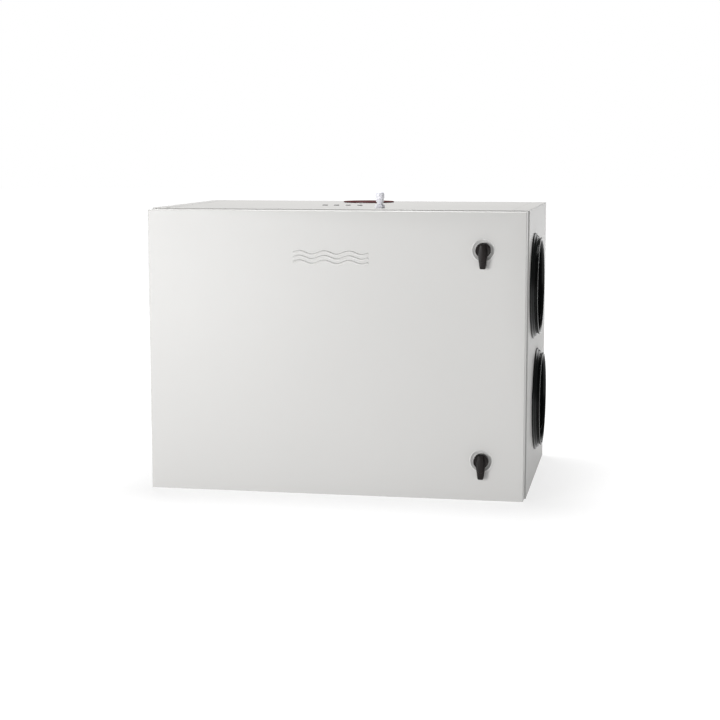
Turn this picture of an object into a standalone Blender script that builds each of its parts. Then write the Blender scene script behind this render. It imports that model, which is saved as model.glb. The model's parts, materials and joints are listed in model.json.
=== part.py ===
"""Heat recovery unit: a wall or floor standing air handling cabinet with a rotary heat exchanger.

Metres, +Z up. The origin is the centre of the cabinet's underside. The door faces -Y, the duct
spigots leave along +X and -X, and the hood connection and the cable entries are on the top.
"""

from math import acos, asin, cos, pi, radians, sin

import bmesh
import bpy
from mathutils import Matrix, Vector

# ---- Driving dimensions ------------------------------------------------------------------------

WIDTH = 0.980
DEPTH = 0.645
HEIGHT = 0.735
WALL = 0.040
SHEET = 0.0015
BEND = 0.0022
GAP = 0.0003

DOOR_THICK = 0.045
DOOR_GAP = 0.004
DOOR_INSET = 0.003
DOOR_SHEET = 0.0012
FITTINGS_SETBACK = 0.010
GASKET_WIDTH = 0.014

HINGE_BARREL_R = 0.005
HINGE_PIN_R = 0.0022
HINGE_LENGTH = 0.060
HINGE_LEAF = 0.0025
HINGE_REACH = 0.035
HINGE_PLAY = 0.0005
HINGE_MARGIN = 0.110

LATCH_SIDE_MARGIN = 0.110
LATCH_TOP_MARGIN = 0.098
LATCH_BOTTOM_MARGIN = 0.1055
LATCH_DISH_R = 0.029
LATCH_DISH_DEPTH = 0.008
LATCH_DISH_SLOPE = 0.0041
LATCH_HEAD_R = 0.019
LATCH_HEAD_BEVEL = 0.003
LATCH_HEAD_OUT = 0.013
LATCH_BAR_OUT = 0.019
LATCH_LEVER = 0.046
LATCH_LEVER_WIDE = 0.024
LATCH_LEVER_TIP = 0.0144
LATCH_BAR_WIDTH = 0.018
LATCH_SHAFT_R = 0.005
LATCH_BARREL_WALL = 0.007
CAM_THICK = 0.004
CAM_WIDTH = 0.020
CAM_BITE = 0.008
CAM_PLAY = 0.001
KEEPER_LIP = 0.018

DUCT_BORE_R = 0.1185
DUCT_PIPE_WALL = 0.004
DUCT_END_WIDTH = 0.008
DUCT_LIP_WIDTH = 0.012
DUCT_FLANGE_WIDTH = 0.0195
DUCT_GROOVE_DEPTH = 0.003
DUCT_OUT = 0.0195
DUCT_FLANGE_THICK = 0.0042
DUCT_LIP_OUT = 0.0105
DUCT_END_THICK = 0.004
DUCT_STEP = 0.001
DUCT_HOLE_PLAY = 0.001
DUCT_FRONT_MARGIN = 0.032
DUCT_BACK_MARGIN = 0.161
DUCT_SPARE_ABOVE = 0.355
DUCT_SPARE_BELOW = 0.4185

DECK_THICK = 0.020

WHEEL_FRONT_MARGIN = 0.053
WHEEL_ROOF_MARGIN = 0.1025
WHEEL_HEADROOM = 0.022
WHEEL_THICK = 0.180
WHEEL_OPENING_LIP = 0.006
WHEEL_SIDE_PLAY = 0.0085
RIM_THICK = 0.004
MATRIX_INSET = 0.002
AXLE_R = 0.006
AXLE_HEAD = 0.002
AXLE_TIP = 0.008
BEARING_WALL = 0.010
BEARING_WIDTH = 0.011
BEARING_FIT = 0.0001
HUB_WALL = 0.019
HUB_CORE_PLAY = 0.0075
BEAM_HEIGHT = 0.034

BELT_R = 0.0025
BELT_PLAY = 0.0009
PULLEY_R = 0.018
PULLEY_FLANGE = 0.0045
PULLEY_FLANGE_THICK = 0.0016
PULLEY_GROOVE_PLAY = 0.0008
PULLEY_GROOVE_SLOPE = 0.0006
PULLEY_SPACING = 0.045
PULLEY_ANGLE = 225
DRIVE_SHAFT_R = 0.004
MOTOR_R = 0.030
MOTOR_LENGTH = 0.070
MOTOR_NOSE_R = 0.0135

FAN_R = 0.100
FAN_EYE_R = 0.066
FAN_WIDTH = 0.070
FAN_BLADES = 7
FAN_BLADE_THICK = 0.0022
FAN_BLADE_SWEEP = 48
FAN_SHEET = 0.002
FAN_FLARE = 0.012
FAN_BOSS_R = 0.014
FAN_BOSS_LENGTH = 0.016
FAN_PLATE = 0.002
FAN_THROAT_PLAY = 0.004
FAN_NOZZLE_LENGTH = 0.020
FAN_WHEEL_SETBACK = 0.015
FAN_POST_R = 0.005
FAN_POST_PLAY = 0.018
FAN_CARRIER_THICK = 0.003
FAN_CARRIER_PLAY = 0.010
FAN_CARRIER_BORDER = 0.010
FAN_MOTOR_R = 0.045
FAN_MOTOR_LENGTH = 0.062
FAN_MOTOR_BEVEL = 0.006
FAN_SHAFT_R = 0.004

FILTER_THICK = 0.048
FILTER_PLAY = 0.001
FILTER_SETBACK = 0.220
FILTER_BORDER = 0.015
FILTER_PLEATS = 14
FILTER_MEDIA_LET = 0.006
FILTER_MEDIA_THICK = 0.0012
FILTER_TAB_WIDTH = 0.024
FILTER_TAB_HEIGHT = 0.060
RAIL_LIP = 0.012

HEATER_THICK = 0.045
HEATER_PLAY = 0.0025
HEATER_BORDER = 0.018
HEATER_ROD_R = 0.004
HEATER_ROD_MARGIN = 0.012
HEATER_PASSES = 6
HEATER_BEND_STEPS = 6

HOOD_X = -0.005
HOOD_SETBACK = 0.110
HOOD_R = 0.0625
HOOD_WALL = 0.0018
HOOD_CAP_OVERLAP = 0.009
HOOD_CAP_THICK = 0.0025
HOOD_CAP_EDGE = 0.0008
HOOD_FLANGE_INSET = 0.003
HOOD_FLANGE_THICK = 0.0006
HOOD_PLUG = 0.020
HOOD_PLUG_WALL = 0.003

GROMMET_COUNT = 4
GROMMET_PITCH = 0.0317
GROMMET_X = -0.077
GROMMET_SETBACK = 0.270
GROMMET_R = 0.0072
GROMMET_HEIGHT = 0.0035
GROMMET_BORDER = 0.011
GROMMET_STRIP_THICK = 0.003

GLAND_X = 0.100
GLAND_SETBACK = 0.115
GLAND_THREAD_R = 0.008
GLAND_THREAD_DEPTH = 0.001
GLAND_THREAD_LENGTH = 0.024
GLAND_HEX_BORDER = 0.003
GLAND_HEX_HEIGHT = 0.009
GLAND_BORE_R = 0.0045
GLAND_DOME_WALL = 0.0038
GLAND_NUT_WALL = 0.0016
GLAND_ROOF = 0.010
GLAND_HEIGHT = 0.043
GLAND_NECK = 0.024
GLAND_COLLAR = 0.009

TRAY_HOOD_MARGIN = 0.030
TRAY_ROOF_PLAY = 0.004
BOARD_THICK = 0.0016
BOARD_MARGIN = 0.012
STANDOFF = 0.008
STANDOFF_R = 0.003
COVER_PULL_WIDTH = 0.060
COVER_PULL_OUT = 0.007

LARGE_SIDES = 24
SMALL_SIDES = 12
WHEEL_SIDES = 32

# ---- Places worked out from them ---------------------------------------------------------------

SIDE = WIDTH / 2
FRONT = -DEPTH / 2
BACK = DEPTH / 2
DOOR_BACK = FRONT + DOOR_THICK
CASE_FRONT = DOOR_BACK + DOOR_GAP
INNER_X = SIDE - WALL
INNER_BACK = BACK - WALL
INNER_BOTTOM = WALL
INNER_TOP = HEIGHT - WALL
INSIDE_FRONT = CASE_FRONT + FITTINGS_SETBACK

DUCT_R = DUCT_BORE_R + DUCT_END_WIDTH
DUCT_LIP_R = DUCT_BORE_R + DUCT_LIP_WIDTH
DUCT_FLANGE_R = DUCT_BORE_R + DUCT_FLANGE_WIDTH
DUCT_SPARE = HEIGHT - 4 * DUCT_FLANGE_R
DUCT_UPPER_Y = CASE_FRONT + DUCT_FRONT_MARGIN + DUCT_FLANGE_R
DUCT_UPPER_Z = HEIGHT - DUCT_FLANGE_R - DUCT_SPARE_ABOVE * DUCT_SPARE
DUCT_LOWER_Y = BACK - DUCT_BACK_MARGIN - DUCT_FLANGE_R
DUCT_LOWER_Z = DUCT_FLANGE_R + DUCT_SPARE_BELOW * DUCT_SPARE
DUCT_PIPE_R = DUCT_BORE_R + DUCT_PIPE_WALL
DUCT_HOLE_R = DUCT_PIPE_R + DUCT_HOLE_PLAY

DECK_Z = (DUCT_UPPER_Z + DUCT_LOWER_Z) / 2
DECK_LOW = DECK_Z - DECK_THICK / 2
DECK_HIGH = DECK_Z + DECK_THICK / 2

WHEEL_Y = (CASE_FRONT + INNER_BACK) / 2
WHEEL_R = min(
    (INNER_BACK - CASE_FRONT) / 2 - WHEEL_FRONT_MARGIN,
    (INNER_TOP - INNER_BOTTOM) / 2 - WHEEL_ROOF_MARGIN,
)
HOUSING_X = WHEEL_THICK / 2 + WHEEL_SIDE_PLAY + SHEET
HOUSING_TOP = DECK_Z + WHEEL_R + WHEEL_HEADROOM
BEARING_R = AXLE_R + BEARING_WALL
HUB_R = BEARING_R + HUB_WALL
AXLE_HEAD_R = AXLE_R + AXLE_HEAD
PULLEY_FLANGE_R = PULLEY_R + PULLEY_FLANGE
PULLEY_DISTANCE = WHEEL_R + PULLEY_SPACING
PULLEY_Y = WHEEL_Y + PULLEY_DISTANCE * cos(radians(PULLEY_ANGLE))
PULLEY_Z = DECK_Z + PULLEY_DISTANCE * sin(radians(PULLEY_ANGLE))

HEATER_X = HOUSING_X + HEATER_PLAY + HEATER_THICK / 2
FAN_PLATE_X = HOUSING_X + HEATER_THICK + 2 * HEATER_PLAY
FAN_THROAT_R = FAN_EYE_R - FAN_THROAT_PLAY
FAN_POST_CORNER = (FAN_R + FAN_POST_PLAY) * cos(pi / 4)
FILTER_X = HOUSING_X + FILTER_SETBACK

HOOD_Y = BACK - HOOD_SETBACK
HOOD_CAP_R = HOOD_R + HOOD_CAP_OVERLAP
GLAND_DOME_R = GLAND_THREAD_R + GLAND_DOME_WALL
GROMMET_Y = FRONT + GROMMET_SETBACK
GLAND_Y = FRONT + GLAND_SETBACK
TRAY_LOW = HOUSING_TOP + GAP
TRAY_HIGH = INNER_TOP - TRAY_ROOF_PLAY
TRAY_BACK = HOOD_Y - HOOD_R - TRAY_HOOD_MARGIN

HINGE_X = -SIDE - HINGE_BARREL_R - HINGE_PLAY
HINGE_Y = (DOOR_BACK + CASE_FRONT) / 2
LATCH_X = SIDE - LATCH_SIDE_MARGIN
UPPER_LATCH_Z = HEIGHT - LATCH_TOP_MARGIN
LOWER_LATCH_Z = LATCH_BOTTOM_MARGIN
LATCH_BARREL_R = LATCH_SHAFT_R + LATCH_BARREL_WALL
CAM_FRONT = CASE_FRONT + SHEET + CAM_PLAY
CAM_REACH = INNER_X - KEEPER_LIP - LATCH_X + CAM_BITE
CUT = 0.02

# ---- Finishes: colour, roughness, metallic -----------------------------------------------------

PAINT = ((0.80, 0.80, 0.79), 0.45, 0.0)
GALVANISED = ((0.62, 0.64, 0.66), 0.42, 0.9)
LINING = ((0.70, 0.71, 0.72), 0.50, 0.6)
FOAM = ((0.30, 0.31, 0.32), 0.95, 0.0)
RUBBER = ((0.025, 0.025, 0.027), 0.80, 0.0)
BLACK_PLASTIC = ((0.012, 0.013, 0.013), 0.22, 0.0)
DARK_PLASTIC = ((0.020, 0.019, 0.019), 0.38, 0.0)
STEEL = ((0.58, 0.58, 0.59), 0.30, 1.0)
ALUMINIUM = ((0.75, 0.76, 0.77), 0.35, 1.0)
MOTOR_BLACK = ((0.04, 0.04, 0.045), 0.50, 0.3)
RED_PLASTIC = ((0.13, 0.006, 0.006), 0.35, 0.0)
GREY_RUBBER = ((0.35, 0.35, 0.34), 0.75, 0.0)
LIGHT_PLASTIC = ((0.72, 0.73, 0.74), 0.35, 0.0)
FILTER_PAPER = ((0.82, 0.82, 0.78), 0.90, 0.0)
BOARD_GREEN = ((0.02, 0.14, 0.06), 0.45, 0.0)


# ---- Tools -------------------------------------------------------------------------------------


def clear_scene():
    for thing in list(bpy.data.objects):
        bpy.data.objects.remove(thing)


def object_from(name, work):
    """A new object from a bmesh, with its faces pointing outwards."""
    bmesh.ops.recalc_face_normals(work, faces=work.faces)
    mesh = bpy.data.meshes.new(name)
    work.to_mesh(mesh)
    work.free()
    made = bpy.data.objects.new(name, mesh)
    bpy.context.scene.collection.objects.link(made)
    return made


def box(name, low, high, bend=0.0, keep_open=None):
    """A box between two corners. Its edges are rounded by bend, but for those of the open side."""
    work = bmesh.new()
    bmesh.ops.create_cube(work, size=1)
    low, high = Vector(low), Vector(high)
    for v in work.verts:
        v.co = Vector(low[i] + (v.co[i] + 0.5) * (high[i] - low[i]) for i in range(3))
    if bend:
        side = Vector(keep_open or (0, 0, 0))
        plane = max(side.dot(low), side.dot(high))
        edges = [
            e
            for e in work.edges
            if not keep_open or any(side.dot(v.co) < plane - bend / 2 for v in e.verts)
        ]
        bmesh.ops.bevel(work, geom=edges, offset=bend, segments=2, profile=0.5, affect="EDGES")
    return object_from(name, work)


def turned(name, profile, axis, centre, sides=SMALL_SIDES):
    """A round solid from a closed outline of (radius, distance along the axis) points."""
    work = bmesh.new()
    along = Vector(axis).normalized()
    across = Vector((0, 0, 1)) if abs(along.z) < 0.9 else Vector((1, 0, 0))
    third = along.cross(across)
    rings = []
    for radius, place in profile:
        base = Vector(centre) + along * place
        if radius == 0:
            rings.append([work.verts.new(base)])
            continue
        ring = []
        for i in range(sides):
            angle = 2 * pi * i / sides
            ring.append(work.verts.new(base + (across * cos(angle) + third * sin(angle)) * radius))
        rings.append(ring)
    for one, two in zip(rings, rings[1:] + rings[:1]):
        if len(one) == 1 and len(two) == 1:
            continue
        for i in range(sides):
            j = (i + 1) % sides
            corners = [one[i % len(one)], one[j % len(one)], two[j % len(two)], two[i % len(two)]]
            work.faces.new(list(dict.fromkeys(corners)))
    return object_from(name, work)


def rod(name, radius, axis, start, length, sides=SMALL_SIDES):
    """A plain round bar."""
    return turned(name, [(0, 0), (radius, 0), (radius, length), (0, length)], axis, start, sides)


def prism(name, outline, axis, low, high):
    """A closed outline, given in the two directions after axis, drawn out from low to high."""
    work = bmesh.new()
    order = {"X": (1, 2, 0), "Y": (0, 2, 1), "Z": (0, 1, 2)}[axis]
    ends = []
    for level in (low, high):
        ring = []
        for a, b in outline:
            place = [0.0, 0.0, 0.0]
            place[order[0]], place[order[1]], place[order[2]] = a, b, level
            ring.append(work.verts.new(place))
        ends.append(ring)
    count = len(outline)
    work.faces.new(ends[0])
    work.faces.new(ends[1])
    for i in range(count):
        j = (i + 1) % count
        work.faces.new((ends[0][i], ends[0][j], ends[1][j], ends[1][i]))
    return object_from(name, work)


def swept_loop(name, points, radius, sides=6):
    """A closed round belt along points in the YZ plane, all at one X."""
    work = bmesh.new()
    rings = []
    count = len(points)
    for i, point in enumerate(points):
        tangent = (points[(i + 1) % count] - points[i - 1]).normalized()
        outward = Vector((0, tangent.z, -tangent.y))
        ring = []
        for k in range(sides):
            angle = 2 * pi * (k + 0.5) / sides
            ring.append(
                work.verts.new(point + outward * radius * cos(angle) + Vector((radius * sin(angle), 0, 0)))
            )
        rings.append(ring)
    for i in range(count):
        one, two = rings[i], rings[(i + 1) % count]
        for k in range(sides):
            m = (k + 1) % sides
            work.faces.new((one[k], one[m], two[m], two[k]))
    return object_from(name, work)


def combine(target, tools, operation):
    """Joins tools to target, or cuts them from it, and removes them."""
    for tool in tools:
        step = target.modifiers.new(tool.name, "BOOLEAN")
        step.operation = operation
        step.solver = "EXACT"
        step.object = tool
    graph = bpy.context.evaluated_depsgraph_get()
    mesh = bpy.data.meshes.new_from_object(target.evaluated_get(graph))
    target.modifiers.clear()
    target.data = mesh
    mesh.name = target.name
    for tool in tools:
        bpy.data.objects.remove(tool)
    return target


def cut(target, *tools):
    return combine(target, tools, "DIFFERENCE")


def join(target, *tools):
    return combine(target, tools, "UNION")


def finish(made, look, smooth=False):
    """Gives a piece its own material, and smooth shading where it is round."""
    colour, roughness, metallic = look
    material = bpy.data.materials.new(made.name)
    material.use_nodes = True
    shader = material.node_tree.nodes["Principled BSDF"]
    shader.inputs["Base Color"].default_value = (*colour, 1)
    shader.inputs["Roughness"].default_value = roughness
    shader.inputs["Metallic"].default_value = metallic
    made.data.materials.clear()
    made.data.materials.append(material)
    if smooth:
        made.data.shade_smooth()
        made.data.set_sharp_from_angle(angle=radians(35))
    return made


def pivot(name, place, pieces, parent=None):
    """An empty on a joint's axis that carries its pieces."""
    holder = bpy.data.objects.new(name, None)
    bpy.context.scene.collection.objects.link(holder)
    holder.empty_display_size = 0.05
    holder.location = place
    if parent:
        holder.parent = parent
        holder.matrix_parent_inverse = Matrix.Translation(-Vector(parent["place"]))
    holder["place"] = place
    for piece in pieces:
        piece.parent = holder
        piece.matrix_parent_inverse = Matrix.Translation(-Vector(place))
    return holder


def flat_radius(radius, clearance, sides):
    """The corner radius of a many-sided bore whose flats clear a shaft of that radius."""
    return (radius + clearance) / cos(pi / sides)


# ---- Cabinet -----------------------------------------------------------------------------------


def pan(name, low, high, open_side):
    """A sheet steel pan: a thin box with folded edges, open on the side that open_side points to."""
    made = box(name, low, high, BEND, open_side)
    inner_low = [low[i] + (SHEET if open_side[i] >= 0 else -CUT) for i in range(3)]
    inner_high = [high[i] - (SHEET if open_side[i] <= 0 else -CUT) for i in range(3)]
    return cut(made, box("pan_cut", inner_low, inner_high))


def board(name, low, high, open_side):
    """The insulation board that fills a pan, lined on its inner face."""
    inset = SHEET + GAP
    board_low = [low[i] + (inset if open_side[i] >= 0 else 0) for i in range(3)]
    board_high = [high[i] - (inset if open_side[i] <= 0 else 0) for i in range(3)]
    return box(name, board_low, board_high)


def duct_holes(side):
    """Cutters for the two duct openings of one side wall."""
    holes = []
    for y, z in ((DUCT_UPPER_Y, DUCT_UPPER_Z), (DUCT_LOWER_Y, DUCT_LOWER_Z)):
        start = (side * (INNER_X - CUT), y, z)
        holes.append(rod("duct_hole", DUCT_HOLE_R, (side, 0, 0), start, WALL + 2 * CUT, LARGE_SIDES))
    return holes


def side_wall(name, side):
    """A side wall over the full height, with two duct openings."""
    corners = sorted((side * INNER_X, side * SIDE))
    low = (corners[0], CASE_FRONT, 0)
    high = (corners[1], BACK, HEIGHT)
    panel = pan(name + "_panel", low, high, (-side, 0, 0))
    if side > 0:
        lip_low = (INNER_X - KEEPER_LIP, CASE_FRONT, INNER_BOTTOM + 2 * GAP)
        lip_high = (SIDE - WALL / 2, CASE_FRONT + SHEET, INNER_TOP - 2 * GAP)
        join(panel, box("lip", lip_low, lip_high))
    cut(panel, *duct_holes(side))
    filling = cut(board(name + "_insulation", low, high, (-side, 0, 0)), *duct_holes(side))
    return finish(panel, PAINT), finish(filling, LINING)


def top_cutters():
    """The openings of the top: hood connection, cable gland and four cable grommets."""
    low = INNER_TOP - CUT
    length = WALL + 2 * CUT
    up = (0, 0, 1)
    hood = rod("hood_hole", HOOD_R + HOOD_WALL + GAP, up, (HOOD_X, HOOD_Y, low), length, LARGE_SIDES)
    gland = rod("gland_hole", GLAND_THREAD_R + GAP, up, (GLAND_X, GLAND_Y, low), length)
    return [hood, gland]


def grommet_places():
    return [GROMMET_X + GROMMET_PITCH * i for i in range(GROMMET_COUNT)]


def strip_outline(margin):
    """Low and high corners, in X and Y, of the strip that the cable grommets are moulded on."""
    reach = GROMMET_BORDER + margin
    xs = grommet_places()
    return (xs[0] - reach, GROMMET_Y - reach), (xs[-1] + reach, GROMMET_Y + reach)


def level_walls():
    """Top and bottom walls, which sit between the side walls."""
    reach = INNER_X - GAP
    top_low, top_high = (-reach, CASE_FRONT, INNER_TOP), (reach, BACK, HEIGHT)
    top = pan("top_panel", top_low, top_high, (0, 0, -1))
    up = (0, 0, 1)
    holes = [
        rod("grommet_hole", GROMMET_R + GAP, up, (x, GROMMET_Y, INNER_TOP), WALL + CUT)
        for x in grommet_places()
    ]
    cut(top, *top_cutters(), *holes)
    slot_low, slot_high = strip_outline(2 * GAP)
    slot = box("slot", (*slot_low, INNER_TOP - CUT), (*slot_high, HEIGHT + CUT))
    top_filling = cut(board("top_insulation", top_low, top_high, (0, 0, -1)), *top_cutters(), slot)
    low, high = (-reach, CASE_FRONT, 0), (reach, BACK, INNER_BOTTOM)
    bottom = pan("bottom_panel", low, high, (0, 0, 1))
    bottom_filling = board("bottom_insulation", low, high, (0, 0, 1))
    for piece in (top, bottom):
        finish(piece, PAINT)
    for piece in (top_filling, bottom_filling):
        finish(piece, LINING)


def back_wall():
    """The back wall sits between the side walls and between top and bottom."""
    x = INNER_X - GAP
    low, high = (-x, INNER_BACK, INNER_BOTTOM + GAP), (x, BACK, INNER_TOP - GAP)
    finish(pan("back_panel", low, high, (0, -1, 0)), PAINT)
    finish(board("back_insulation", low, high, (0, -1, 0)), LINING)


def spigot(name, side, y, z):
    """A moulded duct spigot: pipe through the wall, stepped flange outside and a rounded mouth."""
    groove = DUCT_R - DUCT_GROOVE_DEPTH
    end = DUCT_OUT - DUCT_END_THICK
    outline = [
        (DUCT_BORE_R, -WALL),
        (DUCT_PIPE_R, -WALL),
        (DUCT_PIPE_R, GAP),
        (DUCT_FLANGE_R, GAP),
        (DUCT_FLANGE_R, DUCT_FLANGE_THICK),
        (DUCT_LIP_R, DUCT_FLANGE_THICK + DUCT_STEP),
        (DUCT_LIP_R, DUCT_LIP_OUT),
        (groove, DUCT_LIP_OUT + DUCT_STEP),
        (groove, end - DUCT_STEP),
        (DUCT_R, end),
        (DUCT_R, DUCT_OUT),
        (DUCT_BORE_R, DUCT_OUT),
    ]
    made = turned(name, outline, (side, 0, 0), (side * SIDE, y, z), LARGE_SIDES)
    return finish(made, BLACK_PLASTIC, smooth=True)


def decks():
    """The two insulated shelves that part the upper air path from the lower one."""
    for name, side in (("left_deck", -1), ("right_deck", 1)):
        xs = sorted((side * (HOUSING_X + GAP), side * (INNER_X - GAP)))
        low = (xs[0], INSIDE_FRONT, DECK_LOW)
        high = (xs[1], INNER_BACK - GAP, DECK_HIGH)
        made = box(name, low, high, 0.001)
        start = (side * (HOUSING_X - CUT), WHEEL_Y, DECK_Z)
        pocket = rod("pocket", AXLE_HEAD_R + 2 * GAP, (side, 0, 0), start, CUT + AXLE_TIP + 2 * GAP)
        finish(cut(made, pocket), GALVANISED)


# ---- Rotor -------------------------------------------------------------------------------------


def half_opening(side, upper):
    """A cutter for one half of a housing plate's round opening, clear of the cross beam."""
    radius = WHEEL_R - WHEEL_OPENING_LIP
    start = asin(BEAM_HEIGHT / 2 / radius)
    steps = LARGE_SIDES // 2
    outline = []
    for i in range(steps + 1):
        angle = start + (pi - 2 * start) * i / steps
        sign = 1 if upper else -1
        outline.append((WHEEL_Y + radius * cos(angle), DECK_Z + sign * radius * sin(angle)))
    xs = sorted((side * (HOUSING_X - CUT / 2), side * (HOUSING_X + CUT)))
    return prism("opening", outline, "X", *xs)


def rotor_housing():
    """The sheet cassette round the wheel: two plates with half openings, floor, back and roof."""
    low = (-HOUSING_X, INSIDE_FRONT, INNER_BOTTOM + GAP)
    high = (HOUSING_X, INNER_BACK - GAP, HOUSING_TOP)
    made = box("rotor_housing", low, high)
    inner_low = (-HOUSING_X + SHEET, INSIDE_FRONT - CUT, INNER_BOTTOM + GAP + SHEET)
    inner_high = (HOUSING_X - SHEET, INNER_BACK - GAP - SHEET, HOUSING_TOP - SHEET)
    cut(made, box("hollow", inner_low, inner_high))
    screen_low = (-HOUSING_X, INSIDE_FRONT, HOUSING_TOP - SHEET / 2)
    screen_high = (-HOUSING_X + SHEET, INNER_BACK - GAP, INNER_TOP - GAP)
    join(made, box("screen", screen_low, screen_high))
    openings = [half_opening(side, upper) for side in (-1, 1) for upper in (True, False)]
    bore = flat_radius(AXLE_R, GAP, SMALL_SIDES)
    start = (-HOUSING_X - CUT, WHEEL_Y, DECK_Z)
    axle_hole = rod("axle_hole", bore, (1, 0, 0), start, 2 * HOUSING_X + 2 * CUT)
    cut(made, *openings, axle_hole)
    return finish(made, GALVANISED)


def rotor():
    """The wheel on its two bearings: hub, corrugated matrix and rim band."""
    centre = (0, WHEEL_Y, DECK_Z)
    along = (1, 0, 0)
    half = WHEEL_THICK / 2
    seat = flat_radius(BEARING_R, GAP, SMALL_SIDES)
    bore = AXLE_R + HUB_CORE_PLAY
    outline = [
        (seat, -half),
        (HUB_R, -half),
        (HUB_R, half),
        (seat, half),
        (seat, half - BEARING_WIDTH - GAP),
        (bore, half - BEARING_WIDTH - GAP),
        (bore, -half + BEARING_WIDTH + GAP),
        (seat, -half + BEARING_WIDTH + GAP),
    ]
    hub = finish(turned("rotor_hub", outline, along, centre), ALUMINIUM, smooth=True)
    inner = flat_radius(HUB_R, GAP, WHEEL_SIDES)
    outer = WHEEL_R - RIM_THICK
    face = half - MATRIX_INSET
    outline = [(inner, -face), (outer, -face), (outer, face), (inner, face)]
    matrix = finish(turned("rotor_matrix", outline, along, centre, WHEEL_SIDES), ALUMINIUM, smooth=True)
    inner = flat_radius(outer, GAP, WHEEL_SIDES)
    outline = [(inner, -half), (WHEEL_R, -half), (WHEEL_R, half), (inner, half)]
    rim = finish(turned("rotor_rim", outline, along, centre, WHEEL_SIDES), GALVANISED, smooth=True)
    pieces = [hub, matrix, rim]
    inner = flat_radius(AXLE_R, BEARING_FIT, SMALL_SIDES)
    for name, side in (("left_bearing", -1), ("right_bearing", 1)):
        places = sorted((side * half, side * (half - BEARING_WIDTH)))
        outline = [(inner, places[0]), (BEARING_R, places[0]), (BEARING_R, places[1]), (inner, places[1])]
        pieces.append(finish(turned(name, outline, along, centre), STEEL, smooth=True))
    pivot("rotor_axis", centre, pieces)
    tip = HOUSING_X + AXLE_TIP
    outline = [
        (0, -tip),
        (AXLE_HEAD_R, -tip),
        (AXLE_HEAD_R, -HOUSING_X - GAP),
        (AXLE_R, -HOUSING_X - GAP),
        (AXLE_R, tip),
        (0, tip),
    ]
    finish(turned("rotor_axle", outline, along, centre), STEEL, smooth=True)


def belt_points(wheel, pulley, steps_wheel=40, steps_pulley=8):
    """The belt's centre line: round the wheel, round the pulley and straight between them."""
    spread = acos((wheel - pulley) / PULLEY_DISTANCE)
    towards = radians(PULLEY_ANGLE)
    points = []
    for i in range(steps_wheel + 1):
        angle = towards + spread + (2 * pi - 2 * spread) * i / steps_wheel
        points.append(Vector((0, WHEEL_Y + wheel * cos(angle), DECK_Z + wheel * sin(angle))))
    for i in range(steps_pulley + 1):
        angle = towards - spread + 2 * spread * i / steps_pulley
        points.append(Vector((0, PULLEY_Y + pulley * cos(angle), PULLEY_Z + pulley * sin(angle))))
    return points


def rotor_drive():
    """Belt, pulley and the gear motor, which hangs on the cassette's left plate."""
    offset = BELT_R + BELT_PLAY
    belt = swept_loop("drive_belt", belt_points(WHEEL_R + offset, PULLEY_R + offset), BELT_R)
    finish(belt, RUBBER, smooth=True)
    centre = (0, PULLEY_Y, PULLEY_Z)
    bore = flat_radius(DRIVE_SHAFT_R, BEARING_FIT, SMALL_SIDES)
    groove = BELT_R + PULLEY_GROOVE_PLAY
    wide = groove + PULLEY_GROOVE_SLOPE
    half = groove + PULLEY_FLANGE_THICK
    outline = [
        (bore, -half),
        (PULLEY_FLANGE_R, -half),
        (PULLEY_FLANGE_R, -wide),
        (PULLEY_R, -groove),
        (PULLEY_R, groove),
        (PULLEY_FLANGE_R, wide),
        (PULLEY_FLANGE_R, half),
        (bore, half),
    ]
    pulley = finish(turned("drive_pulley", outline, (1, 0, 0), centre), DARK_PLASTIC, smooth=True)
    pivot("pulley_axis", centre, [pulley])
    foot = -HOUSING_X + SHEET + GAP
    nose = -half - 0.006
    tip = half + 0.002
    outline = [
        (0, foot),
        (MOTOR_R, foot),
        (MOTOR_R, foot + MOTOR_LENGTH),
        (MOTOR_NOSE_R, foot + MOTOR_LENGTH),
        (MOTOR_NOSE_R, nose),
        (DRIVE_SHAFT_R, nose),
        (DRIVE_SHAFT_R, tip),
        (0, tip),
    ]
    finish(turned("drive_motor", outline, (1, 0, 0), centre), MOTOR_BLACK, smooth=True)


# ---- Fans --------------------------------------------------------------------------------------


def blade(y, z, index, low, high):
    """One backward-curved blade between the eye and the rim of an impeller."""
    outline_out, outline_in = [], []
    steps = 3
    inner = FAN_EYE_R * 0.92
    outer = FAN_R - FAN_SHEET
    for i in range(steps + 1):
        share = i / steps
        radius = inner + (outer - inner) * share
        angle = 2 * pi * index / FAN_BLADES - radians(FAN_BLADE_SWEEP) * share**0.9
        half = FAN_BLADE_THICK / radius / 2
        outline_out.append((y + radius * cos(angle + half), z + radius * sin(angle + half)))
        outline_in.append((y + radius * cos(angle - half), z + radius * sin(angle - half)))
    return prism("blade", outline_out + outline_in[::-1], "X", *sorted((low, high)))


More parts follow.
